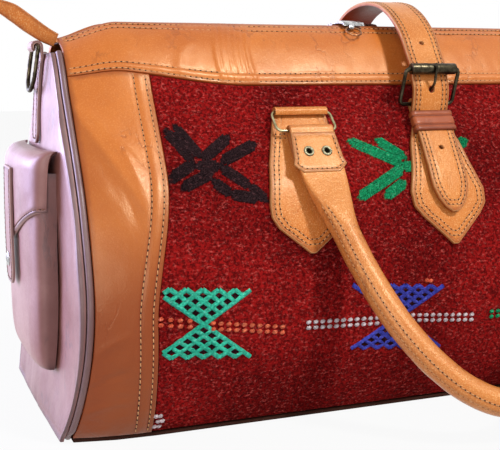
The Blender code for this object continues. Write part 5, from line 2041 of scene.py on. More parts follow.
    def pipings(self) -> None:
        """The roll of hide in each end seam."""
        for end in End:
            down = []
            for z in spread(SKIN.end_top * SKIN.height, 0.012, 44):
                droop = SKIN.droop_at(SKIN.half_length, z)
                down.append(Vector((end.value * SKIN.half_length_at(z), -SKIN.seam_depth_at(z), z - droop)))
            low = SKIN.piping + GAP
            x = end.value * SKIN.half_length_at(2 * low)
            corner = SKIN.seam_depth_at(SKIN.foot)
            down.append(Vector((x, -corner + 0.0010, 0.0075)))
            down.append(Vector((x, -corner + 0.0035, 0.0044)))
            down.append(Vector((x, -corner + 0.0080, low)))
            path, _ = resampled(down + [Vector((p.x, -p.y, p.z)) for p in reversed(down)], 0.0030)
            name = f"{end.word}_piping"
            roll = self.kit.wires(name + "_roll", [path], SKIN.piping, self.finishes.brown, sides=14)
            dressed(roll, "bag", "brown_leather", name)

    def rows_on(self, side: Side) -> list[Line]:
        """The stitch rows of one face.

        Args:
            side: Front or back.

        Returns:
            The lines.
        """
        face, lift = self.face(side), 0.0009
        half = SKIN.half_length - SKIN.strip_top
        reach = SKIN.seam_edge(SKIN.height) - 0.004
        lines = []
        for inset in (*self.band_rows, *(self.band_width - row for row in self.mouth_rows)):
            share = inset / self.band_width
            places = []
            for x in spread(-reach, reach, 120):
                low = SKIN.band_low(x)
                places.append((x, low + share * (SKIN.height - low)))
            lines.append(pressed(face, places, lift))
        for end in End:
            for inset in self.kilim_rows:
                top = SKIN.band_low(half + inset) - 0.003
                heights = spread(SKIN.foot + 0.004, top, 70)
                places = [(end.value * (SKIN.kilim_edge(z) + inset), z) for z in heights]
                lines.append(pressed(face, places, lift))
        return lines

    def seams(self) -> None:
        """The stitches of both faces."""
        for side in Side:
            self.shop.stitch(f"{side.word}_body", self.rows_on(side), "bag", "tan_leather", pitch=0.0044)


# Straps, rings and handles


def rounded_ring(middle: Vector, wide: Vector, tall: Vector, corner: float, count: int = 7) -> list[Vector]:
    """Points round a rectangle with round corners.

    Args:
        middle: Its centre.
        wide: Half its width, as a vector.
        tall: Half its height, as a vector.
        corner: The corners' radius.
        count: Points to a corner.

    Returns:
        The points in order.
    """
    right, up = wide.normalized(), tall.normalized()
    in_wide, in_tall = wide.length - corner, tall.length - corner
    found = []
    for start, (x, y) in zip((0, 90, 180, 270), ((1, 1), (-1, 1), (-1, -1), (1, -1))):
        centre = middle + right * (x * in_wide) + up * (y * in_tall)
        found += arc(centre, corner, start, start + 90, count, right, up)
    return found


def hanging(side: Side, tilt: float) -> Vector:
    """The way down along a piece that hangs over a face, tilted outwards by so many degrees."""
    angle = math.radians(tilt)
    return Vector((0.0, side.value * math.sin(angle), -math.cos(angle)))


def evened(points: Sequence[Vector], step: float) -> list[Vector]:
    """A closed path with no stretch longer than a step."""
    found = []
    for a, b in zip(points, [*points[1:], points[0]]):
        count = max(1, round((b - a).length / step))
        found += [a.lerp(b, k / count) for k in range(count)]
    return found


@dataclass(frozen=True)
class Roll:
    """How a strap on a face turns outwards round a bar."""

    wire: float
    turn: float
    clearance: float = 0.0005

    def radius(self, thickness: float) -> float:
        """From the bar's centre to the strap's middle layer."""
        return self.wire + self.clearance + thickness / 2


@dataclass(frozen=True)
class FaceStrap:
    """A tab that lies on a face, from its tip up, and may end in a roll round a bar."""

    outline: tuple[Point2, ...]
    below_top: float
    thickness: float = 0.0025
    face_lift: float = 0.0011

    @property
    def tip(self) -> float:
        """Height of its tip."""
        return SKIN.height - self.below_top - self.outline[-1][0]

    def top(self, side: Side) -> tuple[Vector, Vector, Vector]:
        """Where the tab leaves the face: the point, and the directions up along it and out of it."""
        lift = self.face_lift + self.thickness / 2
        last = SKIN.face(0.0, self.tip + self.outline[-1][0], side, lift)
        before = SKIN.face(0.0, self.tip + self.outline[-2][0], side, lift)
        up = (last - before).normalized()
        out = Vector((0.0, up.z, -up.y))
        return last, up, out if out.y * side.value > 0 else -out

    def bar(self, side: Side, roll: Roll) -> Vector:
        """The centre of the bar that the tab turns round."""
        last, _, out = self.top(side)
        return last + out * roll.radius(self.thickness)

    def ribbon(self, side: Side, x: float, slant: float, roll: Roll | None) -> Ribbon:
        """The tab's strap.

        Args:
            side: Front or back.
            x: Place of its top.
            slant: How far its tip leans outwards.
            roll: Its roll, or None where it ends flat.

        Returns:
            The ribbon.
        """
        tall, lift = self.outline[-1][0], self.face_lift + self.thickness / 2
        heights = spread(0.0, tall, 40)
        path = [SKIN.face(0.0, self.tip + t, side, lift) for t in heights]
        lengths = lengths_along(path)
        along = list(zip(heights, lengths))
        outline = [(line_through(along, t), half) for t, half in self.outline]
        if roll:
            last, up, out = self.top(side)
            radius = roll.radius(self.thickness)
            path += arc(last + out * radius, radius, 180, 180 - roll.turn, 24, out, up)[1:]
        slants = [(0.0, x + slant), (lengths[-1], x), (lengths[-1] + 0.1, x)]
        return Ribbon(path, RIGHT, outline, self.thickness, side.value, slants)


HANDLE_TAB = FaceStrap((
    (0.000, 0.0020), (0.010, 0.0152), (0.019, 0.0270), (0.027, 0.0325), (0.036, 0.0335),
    (0.065, 0.0305), (0.090, 0.0250), (0.1010, 0.0220),
), 0.0720)
BUCKLE_TAB = FaceStrap((
    (0.000, 0.0020), (0.012, 0.0150), (0.022, 0.0260), (0.030, 0.0325), (0.041, 0.0335),
    (0.060, 0.0270), (0.078, 0.0225), (0.088, 0.0175), (0.094, 0.0145), (0.1060, 0.0140),
), 0.0675)
RING_ROLL = Roll(wire=0.0011, turn=250.0)
NECK_ROLL = Roll(wire=0.0016, turn=215.0)


@dataclass
class Handles(SubAssembly):
    """The two arched handles, their tabs, rings and eyelets."""

    fitting_x: float = 0.1145
    slant: float = 0.010
    ring_half_width: float = 0.0250
    ring_drop: float = 0.0200
    ring_tilt: float = 47.0
    ring_corner: float = 0.0048
    half_span: float = 0.1125
    drop: float = 0.230
    tilt: float = 33.0
    radius: float = 0.0103
    end_half_width: float = 0.0185
    end_thickness: float = 0.0030
    fold_length: float = 0.031
    eyelet_from_ring: float = 0.0205
    eyelet_spacing: float = 0.0150
    eyelet_hole: float = 0.0021
    eyelet_barrel: float = 0.0029
    eyelet_flange: float = 0.0043
    eyelet_crown: float = 0.0009
    fold_reach: float = 0.0380
    fold_thickness: float = 0.0012
    fold_outline: tuple[Point2, ...] = ((0.0, 0.0150), (0.0065, 0.0222), (0.0120, 0.0203), (0.0340, 0.0185))
    sides: int = 32
    seam_angles: tuple[float, float] = (128.0, 158.0)
    end_squareness: float = 6.0
    middle_squareness: float = 2.0
    seam_squareness: float = 3.6
    cross_rows: tuple[float, float] = (0.0925, 0.0960)
    cross_half_width: float = 0.0175
    patch_row: float = 0.0030

    def bars(self, side: Side) -> tuple[Vector, Vector]:
        """The centres of a ring's upper and lower bar."""
        upper = HANDLE_TAB.bar(side, RING_ROLL)
        return upper, upper + self.ring_drop * hanging(side, self.ring_tilt)

    def frame(self, side: Side) -> tuple[Vector, Vector]:
        """Directions down along a hanging handle and out of its plane."""
        tilt = math.radians(self.tilt)
        return hanging(side, self.tilt), Vector((0.0, side.value * math.cos(tilt), math.sin(tilt)))

    def sections(self, side: Side) -> list[tuple[Vector, Vector, Vector, float, float, float]]:
        """The handle's sections along it.

        Args:
            side: Front or back.

        Returns:
            For each: middle, width axis, thickness axis, half width, half thickness, squareness.
        """
        _, lower = self.bars(side)
        down, out = self.frame(side)
        half = self.end_thickness / 2
        layer, turn = half + GAP / 2, RING_ROLL.wire + RING_ROLL.clearance + half
        fold = [(lower + down * s - out * layer, -out) for s in spread(self.fold_length, 0.012, 8)]
        for angle in spread(205, -25, 16):
            a = math.radians(angle)
            outward = out * math.cos(a) - down * math.sin(a)
            fold.append((lower + outward * turn, outward))
        fold += [(lower + down * s + out * layer, out) for s in spread(0.012, self.fold_length, 8)]
        start = Vector((-self.half_span, 0.0, 0.0))
        squarest, span = self.end_squareness, self.end_squareness - self.middle_squareness
        found = [(p + start, RIGHT, n, self.end_half_width, half, squarest) for p, n in fold]
        reach = math.asin(self.fold_length / self.drop)
        for angle in spread(reach, math.pi / 2, 110)[1:]:
            x, s = -self.half_span * math.cos(angle), self.drop * math.sin(angle)
            along = RIGHT * (self.half_span * math.sin(angle)) + down * (self.drop * math.cos(angle))
            across = along.normalized().cross(out) * side.value
            share = smooth_step((s - self.fold_length) / 0.060)
            wide = self.end_half_width + (self.radius - self.end_half_width) * share
            thick = half + (self.radius - half) * share
            point = lower + RIGHT * x + down * s + out * (layer * (1.0 - share))
            found.append((point, across, out, wide, thick, squarest - span * share))
        flip = Vector((-1.0, 1.0, 1.0))
        return found + [(p * flip, wide * flip, *rest) for p, wide, *rest in reversed(found[:-1])]

    def handle(self, side: Side) -> None:
        """A handle with its seam and eyelet holes.

        Args:
            side: Front or back.
        """
        shell, rings, seams = Shell(), [], [[], []]
        travelled, last = 0.0, None
        for point, wide_axis, thick_axis, wide, thick, square in self.sections(side):
            travelled += (point - last).length if last else 0.0
            last = point
            full = 1.0 - (square - self.middle_squareness) / (self.end_squareness - self.middle_squareness)

            def surface(angle: float, lift: float = 0.0) -> Vector:
                """The handle's surface at an angle of this section."""
                a = signed_power(math.cos(angle), 2 / square)
                b = signed_power(math.sin(angle), 2 / square)
                groove = in_rows(math.degrees(angle), self.seam_angles, 5.0)
                uneven = 0.00035 * ripple(travelled, angle * 0.01, side.value, 0.016)
                swell = lift + full * (uneven - 0.0003 * groove)
                swell += full * 0.0006 * hump(math.degrees(angle) - 143.0, 9.0)
                return point + wide_axis * (a * (wide + swell)) + thick_axis * (b * (thick + swell))

            ring = []
            for k in range(self.sides):
                angle = FULL_TURN * (k + 0.5) / self.sides
                near = min(abs(math.degrees(angle) - at) for at in self.seam_angles)
                # The seam rows are darker; the side towards the bag and down is painted shade.
                tone = 0.55 * full * hump(near, 6.0) + 0.30 * full * max(0.0, -math.sin(angle))
                flat = (travelled, self.radius * angle)
                rim = 1.0 if square < 5.9 else 0.004 * (1 - abs(math.cos(angle)) ** 8)
                ring.append(shell.point(surface(angle), flat, rim, min(1.0, tone)))
            rings.append(ring)
            if square < self.seam_squareness:
                for seam, at in zip(seams, self.seam_angles):
                    a = math.radians(at)
                    seam.append((surface(a, 0.0001), (surface(a, 0.001) - surface(a)).normalized()))
        shell.tube(rings)
        handle = shell.made(f"{side.word}_handle_hide", self.finishes.tan_worn, 70.0)
        _, out = self.frame(side)
        hole = self.eyelet_barrel + GAP
        with_holes(handle, [(centre, out, hole, 0.010) for _, centre in self.eyelet_places(side)])
        body = f"{side.word}_handle_and_eyelets"
        dressed(handle, body, "tan_leather", f"{side.word}_handle")
        for end in End:
            seams += self.fold_end(side, end)
        self.shop.stitch(f"{side.word}_handle", seams, body, "tan_leather", pitch=0.0040)

    def eyelet_places(self, side: Side) -> list[tuple[str, Vector]]:
        """The name and centre of each eyelet of a handle."""
        _, lower = self.bars(side)
        down, _ = self.frame(side)
        found = []
        for end in End:
            for step, place in ((-0.5, "outer"), (0.5, "inner")):
                x = end.value * (self.half_span - step * self.eyelet_spacing)
                found.append((f"{end.word}_{place}", lower + RIGHT * x + down * self.eyelet_from_ring))
        return found

    def eyelet(self, side: Side, place: str, centre: Vector) -> None:
        """A rolled tubular rivet.

        Args:
            side: Front or back.
            place: Its name on the handle.
            centre: Its centre.
        """
        _, out = self.frame(side)
        up = out.cross(RIGHT)
        reach, thick = self.end_thickness + GAP / 2 + GAP, self.eyelet_crown
        high = reach + self.fold_thickness
        middle = (self.eyelet_hole + self.eyelet_flange) / 2
        half = (self.eyelet_flange - self.eyelet_hole) / 2
        crown = [(middle + half * math.cos(a), thick * math.sin(a)) for a in spread(0.0, math.pi, 9)]
        profile = [(r, high + h) for r, h in crown] + [(r, -reach - h) for r, h in reversed(crown)]
        profile += [(self.eyelet_barrel, -reach), (self.eyelet_barrel, high)]
        loops = []
        for angle in spread(0.0, FULL_TURN, 29)[:-1]:
            ray = RIGHT * math.cos(angle) + up * math.sin(angle)
            loops.append([centre + ray * r + out * h for r, h in profile])
        name = f"{side.word}_eyelet_{place}"
        ring = swept(name + "_metal", loops, self.finishes.eyelet, closed=True)
        dressed(ring, f"{side.word}_handle_and_eyelets", "pale_brass", name)

    def tab(self, side: Side, end: End) -> list[Line]:
        """A pointed tab whose rolled top holds the ring.

        Args:
            side: Front or back.
            end: Left or right.

        Returns:
            Its stitch lines.
        """
        ribbon = HANDLE_TAB.ribbon(side, end.value * self.fitting_x, end.value * self.slant, RING_ROLL)
        relief = sewn(TAB_ROWS)

        def worn(u: float, v: float, rim: float) -> float:
            """Darker near the roll and in the stitch rows."""
            rows = in_rows(rim, TAB_ROWS, 0.0010)
            return min(1.0, 0.30 * rows + 0.30 * smooth_step((v - 0.100) / 0.015))

        sheet = ribbon.sheet(relief, worn, 0.0016)
        self.hide(sheet, self.finishes.tan_cut, f"{side.word}_{end.word}_handle_tab")
        lines = []
        for inset in TAB_ROWS:
            seam = ribbon.seam(inset, SEAM_START + inset, 0.098)
            lines.append(pressed(ribbon.lay, seam, ribbon.thickness / 2))
        for v in self.cross_rows:
            places = [(u, v) for u in spread(-self.cross_half_width, self.cross_half_width, 10)]
            lines.append(pressed(ribbon.lay, places, ribbon.thickness / 2))
        return lines

    def fold_end(self, side: Side, end: End) -> list[Line]:
        """The handle's own end, folded over the ring and riveted on its outer face.

        Args:
            side: Front or back.
            end: Left or right.

        Returns:
            Its stitch lines.
        """
        _, lower = self.bars(side)
        down, out = self.frame(side)
        start = lower + RIGHT * (end.value * self.half_span)
        lift = self.end_thickness + GAP / 2 + self.fold_thickness / 2
        path = [start + down * s + out * lift for s in spread(self.fold_reach, 0.0035, 24)]
        ribbon = Ribbon(path, RIGHT, self.fold_outline, self.fold_thickness, side.value)
        sheet = ribbon.sheet(sewn((self.patch_row,), 0.00025), plain, 0.0012)
        patch = sheet.shell().made(f"{side.word}_{end.word}_handle_fold", self.finishes.tan_cut)
        holes = [
            (centre, out, self.eyelet_flange - 0.0004, 0.010) for place, centre in self.eyelet_places(side)
            if place.startswith(end.word)
        ]
        dressed(with_holes(patch, holes), f"{side.word}_handle_and_eyelets", "tan_leather")
        seam = ribbon.seam(self.patch_row, self.patch_row, 0.030)
        return [pressed(ribbon.lay, seam, self.fold_thickness / 2)]

    def build(self) -> None:
        """All of the handles."""
        for side in Side:
            upper, lower = self.bars(side)
            lines = []
            for end in End:
                lines += self.tab(side, end)
                middle = (upper + lower) / 2 + RIGHT * (end.value * self.fitting_x)
                wide, tall = RIGHT * self.ring_half_width, (upper - lower) / 2
                path = rounded_ring(middle, wide, tall, self.ring_corner)
                name = f"{side.word}_{end.word}"
                ring = self.kit.wires(
                    name + "_ring_wire", [evened(path, WIRE_STEP)], RING_ROLL.wire,
                    self.finishes.brass, closed=True,
                )
                dressed(ring, name + "_ring", "pale_brass", name + "_handle_ring")
            self.shop.stitch(f"{side.word}_tab", lines, "bag", "tan_leather")
            self.handle(side)
            for place, centre in self.eyelet_places(side):
                self.eyelet(side, place, centre)


# The closure over the zip


@dataclass
class Closure(SubAssembly):
    """The strap over the zip, its buckle, keeper and the tabs that hold it."""

    half_width: float = 0.0165
    thickness: float = 0.0032
    hole: float = 0.0020
    tip_below_top: float = 0.150
    arch_rise: float = 0.0205
    arch: tuple[Point2, ...] = (
        (-0.0700, 0.0440), (-0.0605, 0.0300), (-0.0495, 0.0190), (-0.0365, 0.0100),
        (-0.0200, 0.0030), (0.0000, 0.0), (0.0200, 0.0010), (0.0400, 0.0060),
        (0.0560, 0.0150), (0.0670, 0.0280), (0.0715, 0.0430), (0.0725, 0.0560),
    )
    buckle_half_width: float = 0.0245
    buckle_corner: float = 0.004
    roller_radius: float = 0.0045
    roller_half_length: float = 0.0205
    roller_ahead: float = 0.0100
    roller_above: float = 0.0285
    prong: float = 0.0011
    keeper_half_height: float = 0.0090
    keeper_wall: float = 0.0018
    keeper_corner: float = 0.0016
    keeper_below_top: float = 0.0828
    rows: tuple[float, float] = (0.0028, 0.0062)
    free_hole: float = 0.047
    arch_hole: float = 0.148
    rubbed_at: float = 0.118

    @property
    def bar(self) -> Vector:
        """The centre of the bar that the buckle turns on."""
        return BUCKLE_TAB.bar(Side.FRONT, NECK_ROLL)

    @property
    def roller(self) -> Vector:
        """The centre of the roller."""
        return self.bar + Vector((0.0, -self.roller_ahead, self.roller_above))

    @property
    def lift(self) -> float:
        """Height of the strap's middle layer over the face."""
        return BUCKLE_TAB.face_lift + BUCKLE_TAB.thickness + 2 * GAP + self.keeper_wall + self.thickness / 2

    @property
    def prong_hole(self) -> Vector:
        """Where the prong goes through the strap."""
        out = NECK_ROLL.wire + NECK_ROLL.clearance + BUCKLE_TAB.thickness + GAP + self.thickness / 2
        return Vector((0.0, self.bar.y - out - 0.0012, self.bar.z + 0.0120))

    def strap_path(self) -> list[Vector]:
        """The strap's middle line, from its tip on the front to its end on the back."""
        top, half = SKIN.height, self.thickness / 2
        drops = spread(self.tip_below_top, 0.0745, 14)
        path = [SKIN.face(0.0, top - d, Side.FRONT, self.lift) for d in drops]
        bar, roller = self.bar, self.roller
        ahead = bar.y - NECK_ROLL.wire - NECK_ROLL.clearance - BUCKLE_TAB.thickness - GAP - half
        behind = roller.y + self.roller_radius + 0.0009 + half
        path += [
            Vector((0.0, ahead - 0.0006, bar.z + 0.0010)),
            Vector((0.0, ahead - 0.0012, bar.z + 0.0120)),
            Vector((0.0, (ahead + behind) / 2 - 0.0006, bar.z + 0.0200)),
            Vector((0.0, behind, roller.z)),
        ]
        peak = top + self.arch_rise
        path += [Vector((0.0, y, peak - drop)) for y, drop in self.arch]
        back_lift = BUCKLE_TAB.face_lift + BUCKLE_TAB.thickness + GAP + half
        return path + [SKIN.face(0.0, top - d, Side.BACK, back_lift) for d in spread(0.072, 0.135, 10)]

    def strap(self) -> list[Line]:
        """The closure strap.

        Returns:
            Its stitch lines.
        """
        outline = (
            (0.0, 0.0025), (0.004, 0.0078), (0.011, 0.0126), (0.021, 0.0160),
            (0.027, self.half_width), (1.0, self.half_width),
        )
        ribbon = Ribbon(self.strap_path(), RIGHT, outline, self.thickness, -1.0)
        sheet = ribbon.sheet(sewn(self.rows), self.strap_tone, 0.0017)
        # The inner face is fully dark: painted shade under the arch.
        sheet.width, sheet.back_tone = 2 * self.half_width, 1.0
        strap = sheet.shell().made("closure_strap_hide", self.finishes.tan_cut)
        tip = SKIN.height - self.tip_below_top
        free = SKIN.face(0.0, tip + self.free_hole, Side.FRONT, self.lift)
        arch = ribbon.lay(0.0, self.arch_hole, 0.0)
        holes = [
            (free, free - SKIN.face(0.0, tip + self.free_hole, Side.FRONT), self.hole, 0.0035),
            (self.prong_hole, ACROSS, 1.4 * self.hole, 0.0045),
            (arch, ribbon.lay(0.0, self.arch_hole, 1.0) - arch, self.hole, 0.0045),
        ]
        dressed(with_holes(strap, holes), "bag", "tan_leather", "closure_strap")
        return [
            pressed(ribbon.lay, ribbon.seam(inset, 0.003 + inset, ribbon.length - 0.006), self.thickness / 2)
            for inset in self.rows
        ]

    def strap_tone(self, u: float, v: float, rim: float) -> float:
        """Darker in the stitch rows and where the buckle rubs."""
        rows = in_rows(rim, self.rows, 0.0010)
        rubbed = hump(v - self.rubbed_at, 0.014)
        return min(1.0, 0.30 * rows + 0.20 * rubbed)

    def tabs(self) -> list[Line]:
        """The buckle's tab and the patch at the strap's back end.

        Returns:
            Their stitch lines.
        """
        lines = []
        kinds = ((Side.FRONT, "buckle_tab", NECK_ROLL), (Side.BACK, "back_strap_patch", None))
        for side, name, roll in kinds:
            ribbon = BUCKLE_TAB.ribbon(side, 0.0, 0.0, roll)
            sheet = ribbon.sheet(sewn(TAB_ROWS), self.strap_tone, 0.0016)
            tab = sheet.shell().made(name + "_hide", self.finishes.tan_cut)
            if roll:
                slot_half = self.prong + 2 * GAP
                with_holes(tab, [(self.bar + UP * 0.0015, ACROSS, slot_half, 0.0080)])
            dressed(tab, "bag", "tan_leather", name)
            for inset in TAB_ROWS:
                seam = ribbon.seam(inset, SEAM_START + inset, 0.096)
                lines.append(pressed(ribbon.lay, seam, ribbon.thickness / 2))
        return lines

    def buckle(self) -> None:
        """The frame, its roller and the prong."""
        bar, top = self.bar, self.roller
        up = top - bar
        middle = (bar + top) / 2
        path = rounded_ring(middle, RIGHT * self.buckle_half_width, up / 2, self.buckle_corner)
        metal = self.finishes.antique
        path = evened(path, WIRE_STEP)
        frame_wire = self.kit.wires("buckle_frame_wire", [path], NECK_ROLL.wire, metal, closed=True)
        dressed(frame_wire, "bag", "antique_metal", "buckle_frame")
        bore, h, r = NECK_ROLL.wire + GAP, self.roller_half_length, self.roller_radius
        profile = [(bore, -h), (r - 0.0008, -h), (r - 0.0002, -h + 0.0002), (r, -h + 0.0008)]
        profile += [(radius, -x) for radius, x in reversed(profile)]
        loops = []
        for angle in spread(0.0, FULL_TURN, 37)[:-1]:
            ray = ACROSS * math.cos(angle) + UP * math.sin(angle)
            loops.append([top + ray * radius + RIGHT * x for radius, x in profile])
        sleeve = swept("buckle_roller_sleeve", loops, metal, closed=True)
        dressed(sleeve, "roller", "antique_metal", "buckle_roller")
        turn = arc(bar, NECK_ROLL.wire + NECK_ROLL.clearance + self.prong, -200, 60, 24, ACROSS, UP)
        through = self.prong_hole
        front = top.y - self.roller_radius - self.prong - GAP
        route = turn + [
            Vector((0.0, bar.y - 0.0012, bar.z + 0.0052)),
            Vector((0.0, through.y + 0.0035, through.z - 0.0032)),
            through, Vector((0.0, through.y - 0.0052, through.z + 0.0048)),
            Vector((0.0, front + 0.0012, top.z - 0.0048)), Vector((0.0, front, top.z + 0.0005)),
            Vector((0.0, front + 0.0010, top.z + 0.0045)),
        ]
        path, _ = resampled(route, 0.0012)
        prong = self.kit.wires("buckle_prong_wire", [path], self.prong, metal)
        dressed(prong, "bag", "antique_metal", "buckle_prong")

    def keeper(self) -> None:
        """The closed band of hide that holds the strap's end down."""
        z = SKIN.height - self.keeper_below_top
        foot = SKIN.face(0.0, z, Side.FRONT)
        out = (SKIN.face(0.0, z, Side.FRONT, 0.01) - foot).normalized()
        up = Vector((0.0, -out.z, out.y)) * -1.0
        wall = self.keeper_wall
        low = BUCKLE_TAB.face_lift + BUCKLE_TAB.thickness + GAP
        high = low + 2 * wall + 2 * GAP + self.thickness
        half = self.half_width + 2 * GAP + wall / 2
        centre = foot + out * ((low + high) / 2)
        tall = (high - low) / 2 - wall / 2
        path = evened(rounded_ring(centre, RIGHT * half, out * tall, self.keeper_corner, 5), WIRE_STEP)
        shell, rings = Shell(), []
        for i, point in enumerate(path):
            tangent = (path[(i + 1) % len(path)] - path[i - 1]).normalized()
            normal = up.cross(tangent)
            if normal.dot(point - centre) < 0:
                normal.negate()
            ring = []
            for share in spread(-1.0, 1.0, 25):
                rim = self.keeper_half_height * (1.0 - abs(share))
                groove = hump(abs(share) - 0.46, 0.085)
                ridge = 0.0003 - 0.0009 * groove - 0.0006 * max(0.0, 1.0 - rim / 0.0008) ** 2
                lift = wall / 2 + ridge + 0.0001 * ripple(point.x, share * 0.01, 0.0, 0.004)
                at = point + up * (share * self.keeper_half_height) + normal * lift
                ring.append(shell.point(at, (point.x, share), rim + 0.001, 0.75 * groove))
            for share in spread(1.0, -1.0, 4):
                at = point + up * (share * self.keeper_half_height) - normal * (wall / 2)
                ring.append(shell.point(at, (point.x, share), 0.002, 0.5))
            rings.append(ring)
        shell.tube(rings, closed=True)
        self.hide(shell, self.finishes.keeper, "keeper_loop", slot="keeper_leather")

    def build(self) -> None:
        """All of the closure."""
        lines = self.strap() + self.tabs()
        self.shop.stitch("closure", lines, "bag", "tan_leather")
        self.buckle()
        self.keeper()


# The zip


def softened(node: str, name: str, finish: Material, width: float, segments: int = 3) -> Piece:
    """A copy of a CAD node's mesh with its edges rounded.

    Args:
        node: The node.
        name: The piece's name.
        finish: Its material.
        width: The rounding.
        segments: Faces across a rounding.

    Returns:
        The new piece.
    """
    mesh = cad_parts[node].data.copy()
    mesh.materials.clear()
    mesh.materials.append(finish)
    bm = bmesh.new()
    bm.from_mesh(mesh)
    bmesh.ops.remove_doubles(bm, verts=bm.verts, dist=0.00001)
    bmesh.ops.dissolve_limit(bm, angle_limit=math.radians(2), verts=bm.verts, edges=bm.edges)
    bmesh.ops.recalc_face_normals(bm, faces=bm.faces)
    bm.to_mesh(mesh)
    bm.free()
    piece = linked(name, mesh)
    bevel = piece.modifiers.new("round", "BEVEL")
    bevel.width, bevel.segments, bevel.limit_method = width, segments, "ANGLE"
    bevel.angle_limit = math.radians(28)
    bevel.use_clamp_overlap = True
    settled(piece)
    piece.data.shade_smooth()
    piece.data.set_sharp_from_angle(angle=math.radians(50))
    return piece


@dataclass
class Zip(SubAssembly):
    """The zip along the top: tapes, teeth, two sliders with their wire rings, and end tabs."""

    drop: float = 0.0048
    tape_inset: float = 0.0008
    tape_thickness: float = 0.0008
    tape_end: float = 0.0040
    tooth_pitch: float = 0.0026
    tooth_row: float = 0.0019
    slider_x: tuple[float, float] = (-0.043, -0.018)
    eye_ahead: float = 0.0300
    eye_below_top: float = 0.0015
    eye_shift: float = -0.004
    ring_radius: float = 0.0065
    ring_wire: float = 0.0008
    ring_lift: float = 0.0035
    tab_thickness: float = 0.004
    tab_step: float = 0.0016
    tab_sides: int = 28
    tab_path: tuple[Point3, ...] = (
        (0.0000, 0.0000, 0.0055), (0.0090, 0.0045, 0.0062), (0.0210, 0.0125, 0.0068),
        (0.0330, 0.0210, 0.0066), (0.0430, 0.0255, 0.0050), (0.0495, 0.0270, 0.0015),
    )

    def level(self, x: float) -> float:
        """Height of the zip at x."""
        z = SKIN.height - self.drop
        return z - SKIN.droop_at(x, z)

    def tape(self, side: Side) -> None:
        """One tape and its teeth.

        Args:
            side: Front or back.
        """
        end = SKIN.half_length - self.tape_end
        half = self.tape_thickness / 2

        def at(s: float, t: float) -> Point2:
            """Coordinates of the tape's cut: along the bag, and across."""
            x = (2 * s - 1) * end
            return x, GAP / 2 + t * (SKIN.at(x, SKIN.height, Side.BACK).y - self.tape_inset - GAP / 2)

        def lay(x: float, y: float, lift: float) -> Vector:
            """The zip's level."""
            return Vector((x, side.value * y, self.level(x) + lift))

        def relief(x: float, y: float, rim: float) -> float:
            """A ridge of woven cord beside the teeth."""
            return 0.0009 * hump(y - 0.0042, 0.0012) + 0.0001 * ripple(x, y, 0.0, 0.01)

        sheet = Sheet(
            lay, at, 2 * end, 0.0185, half, self.tape_thickness, step=0.0018, rounding=0.0003, relief=relief,
        )
        node = f"{side.word}_zip_half"
        dressed(sheet.shell().made(f"{side.word}_zip_tape", self.finishes.tape), "bag", "zip_tape", node)
        shift = 0.5 * self.tooth_pitch if side is Side.BACK else 0.0
        line = []
        for x in spread(-end + 0.004 + shift, end - 0.004 + shift, 200):
            line.append((Vector((x, side.value * self.tooth_row, self.level(x))), UP))
        teeth = self.kit.made(
            f"{side.word}_zip_teeth", self.kit.rows[Unit.TOOTH], [line], self.finishes.teeth,
            pitch=self.tooth_pitch, length=0.0013, width=0.0031, height=0.0030, slant=0.0,
        )
        dressed(teeth, "bag", "zip_tape")

    def slider(self, x: float, side: Side, hand: str) -> None:
        """A slider and the wire ring in its eye.

        Args:
            x: The slider's place.
            side: The face that its ring hangs over.
            hand: Its name.
        """
        plate = softened(f"{hand}_zip_slider", f"{hand}_slider_plate", self.finishes.silver, 0.0005)
        dressed(plate, f"{hand}_slider", "silver_metal", f"{hand}_zip_slider")
        eye = Vector((
            x - side.value * self.eye_shift, side.value * self.eye_ahead, SKIN.height - self.eye_below_top,
        ))
        high, low = SKIN.height - 0.3 * self.ring_radius, SKIN.height - 2.6 * self.ring_radius
        foot, head = SKIN.face(0.0, low, side, 0.0010 + self.ring_lift), SKIN.face(0.0, high, side, 0.0010)
        down = (foot - head).normalized()
        path = arc(eye + down * self.ring_radius, self.ring_radius, 0, 360, 33, RIGHT, down)[:-1]
        copper = self.finishes.copper
        ring = self.kit.wires(f"{hand}_pull_wire", [path], self.ring_wire, copper, closed=True)
        dressed(ring, f"{hand}_pull", "copper_wire", f"{hand}_pull_ring")

    def end_tab(self, end: End) -> None:
        """The folded tab that stands on edge at an end of the zip.

        Args:
            end: Left or right.
        """
        root_x = SKIN.half_length - self.tape_end + GAP * 2
        root_z = self.level(SKIN.half_length - self.tape_end) + 0.0025
        knots = [Vector((end.value * (root_x + dx), 0.0, root_z + dz)) for dx, dz, _ in self.tab_path]
        path, places = resampled(knots, self.tab_step)
        shell, rings = Shell(), []
        halves = [(float(i), half) for i, (_, _, half) in enumerate(self.tab_path)]
        for i, point in enumerate(path):
            tangent = (path[min(i + 1, len(path) - 1)] - path[max(i - 1, 0)]).normalized()
            up = Vector((-tangent.z, 0.0, tangent.x)) * end.value
            half, thick = line_through(halves, places[i]), self.tab_thickness / 2
            ring = []
            for k in range(self.tab_sides):
                angle = FULL_TURN * (k + 0.5) / self.tab_sides
                a, b = signed_power(math.cos(angle), 0.35), signed_power(math.sin(angle), 0.45)
                pinch = 1.0 - 0.16 * hump(abs(a) - 0.62, 0.12)
                at = point + up * (a * half) + ACROSS * (b * thick * pinch)
                rim = half * (1.0 - abs(a)) + 0.0004
                ring.append(shell.point(at, (i * self.tab_step, a * half), rim, 0.25))
            rings.append(ring)
        shell.tube(rings)
        self.hide(shell, self.finishes.tan_cut, f"{end.word}_zip_end_tab", sharp=80.0)

    def build(self) -> None:
        """All of the zip."""
        for side in Side:
            self.tape(side)
        for x, side, hand in zip(self.slider_x, (Side.FRONT, Side.BACK), ("left", "right")):
            self.slider(x, side, hand)
        for end in End:
            self.end_tab(end)


# The ends: ring tabs, D-rings and pockets


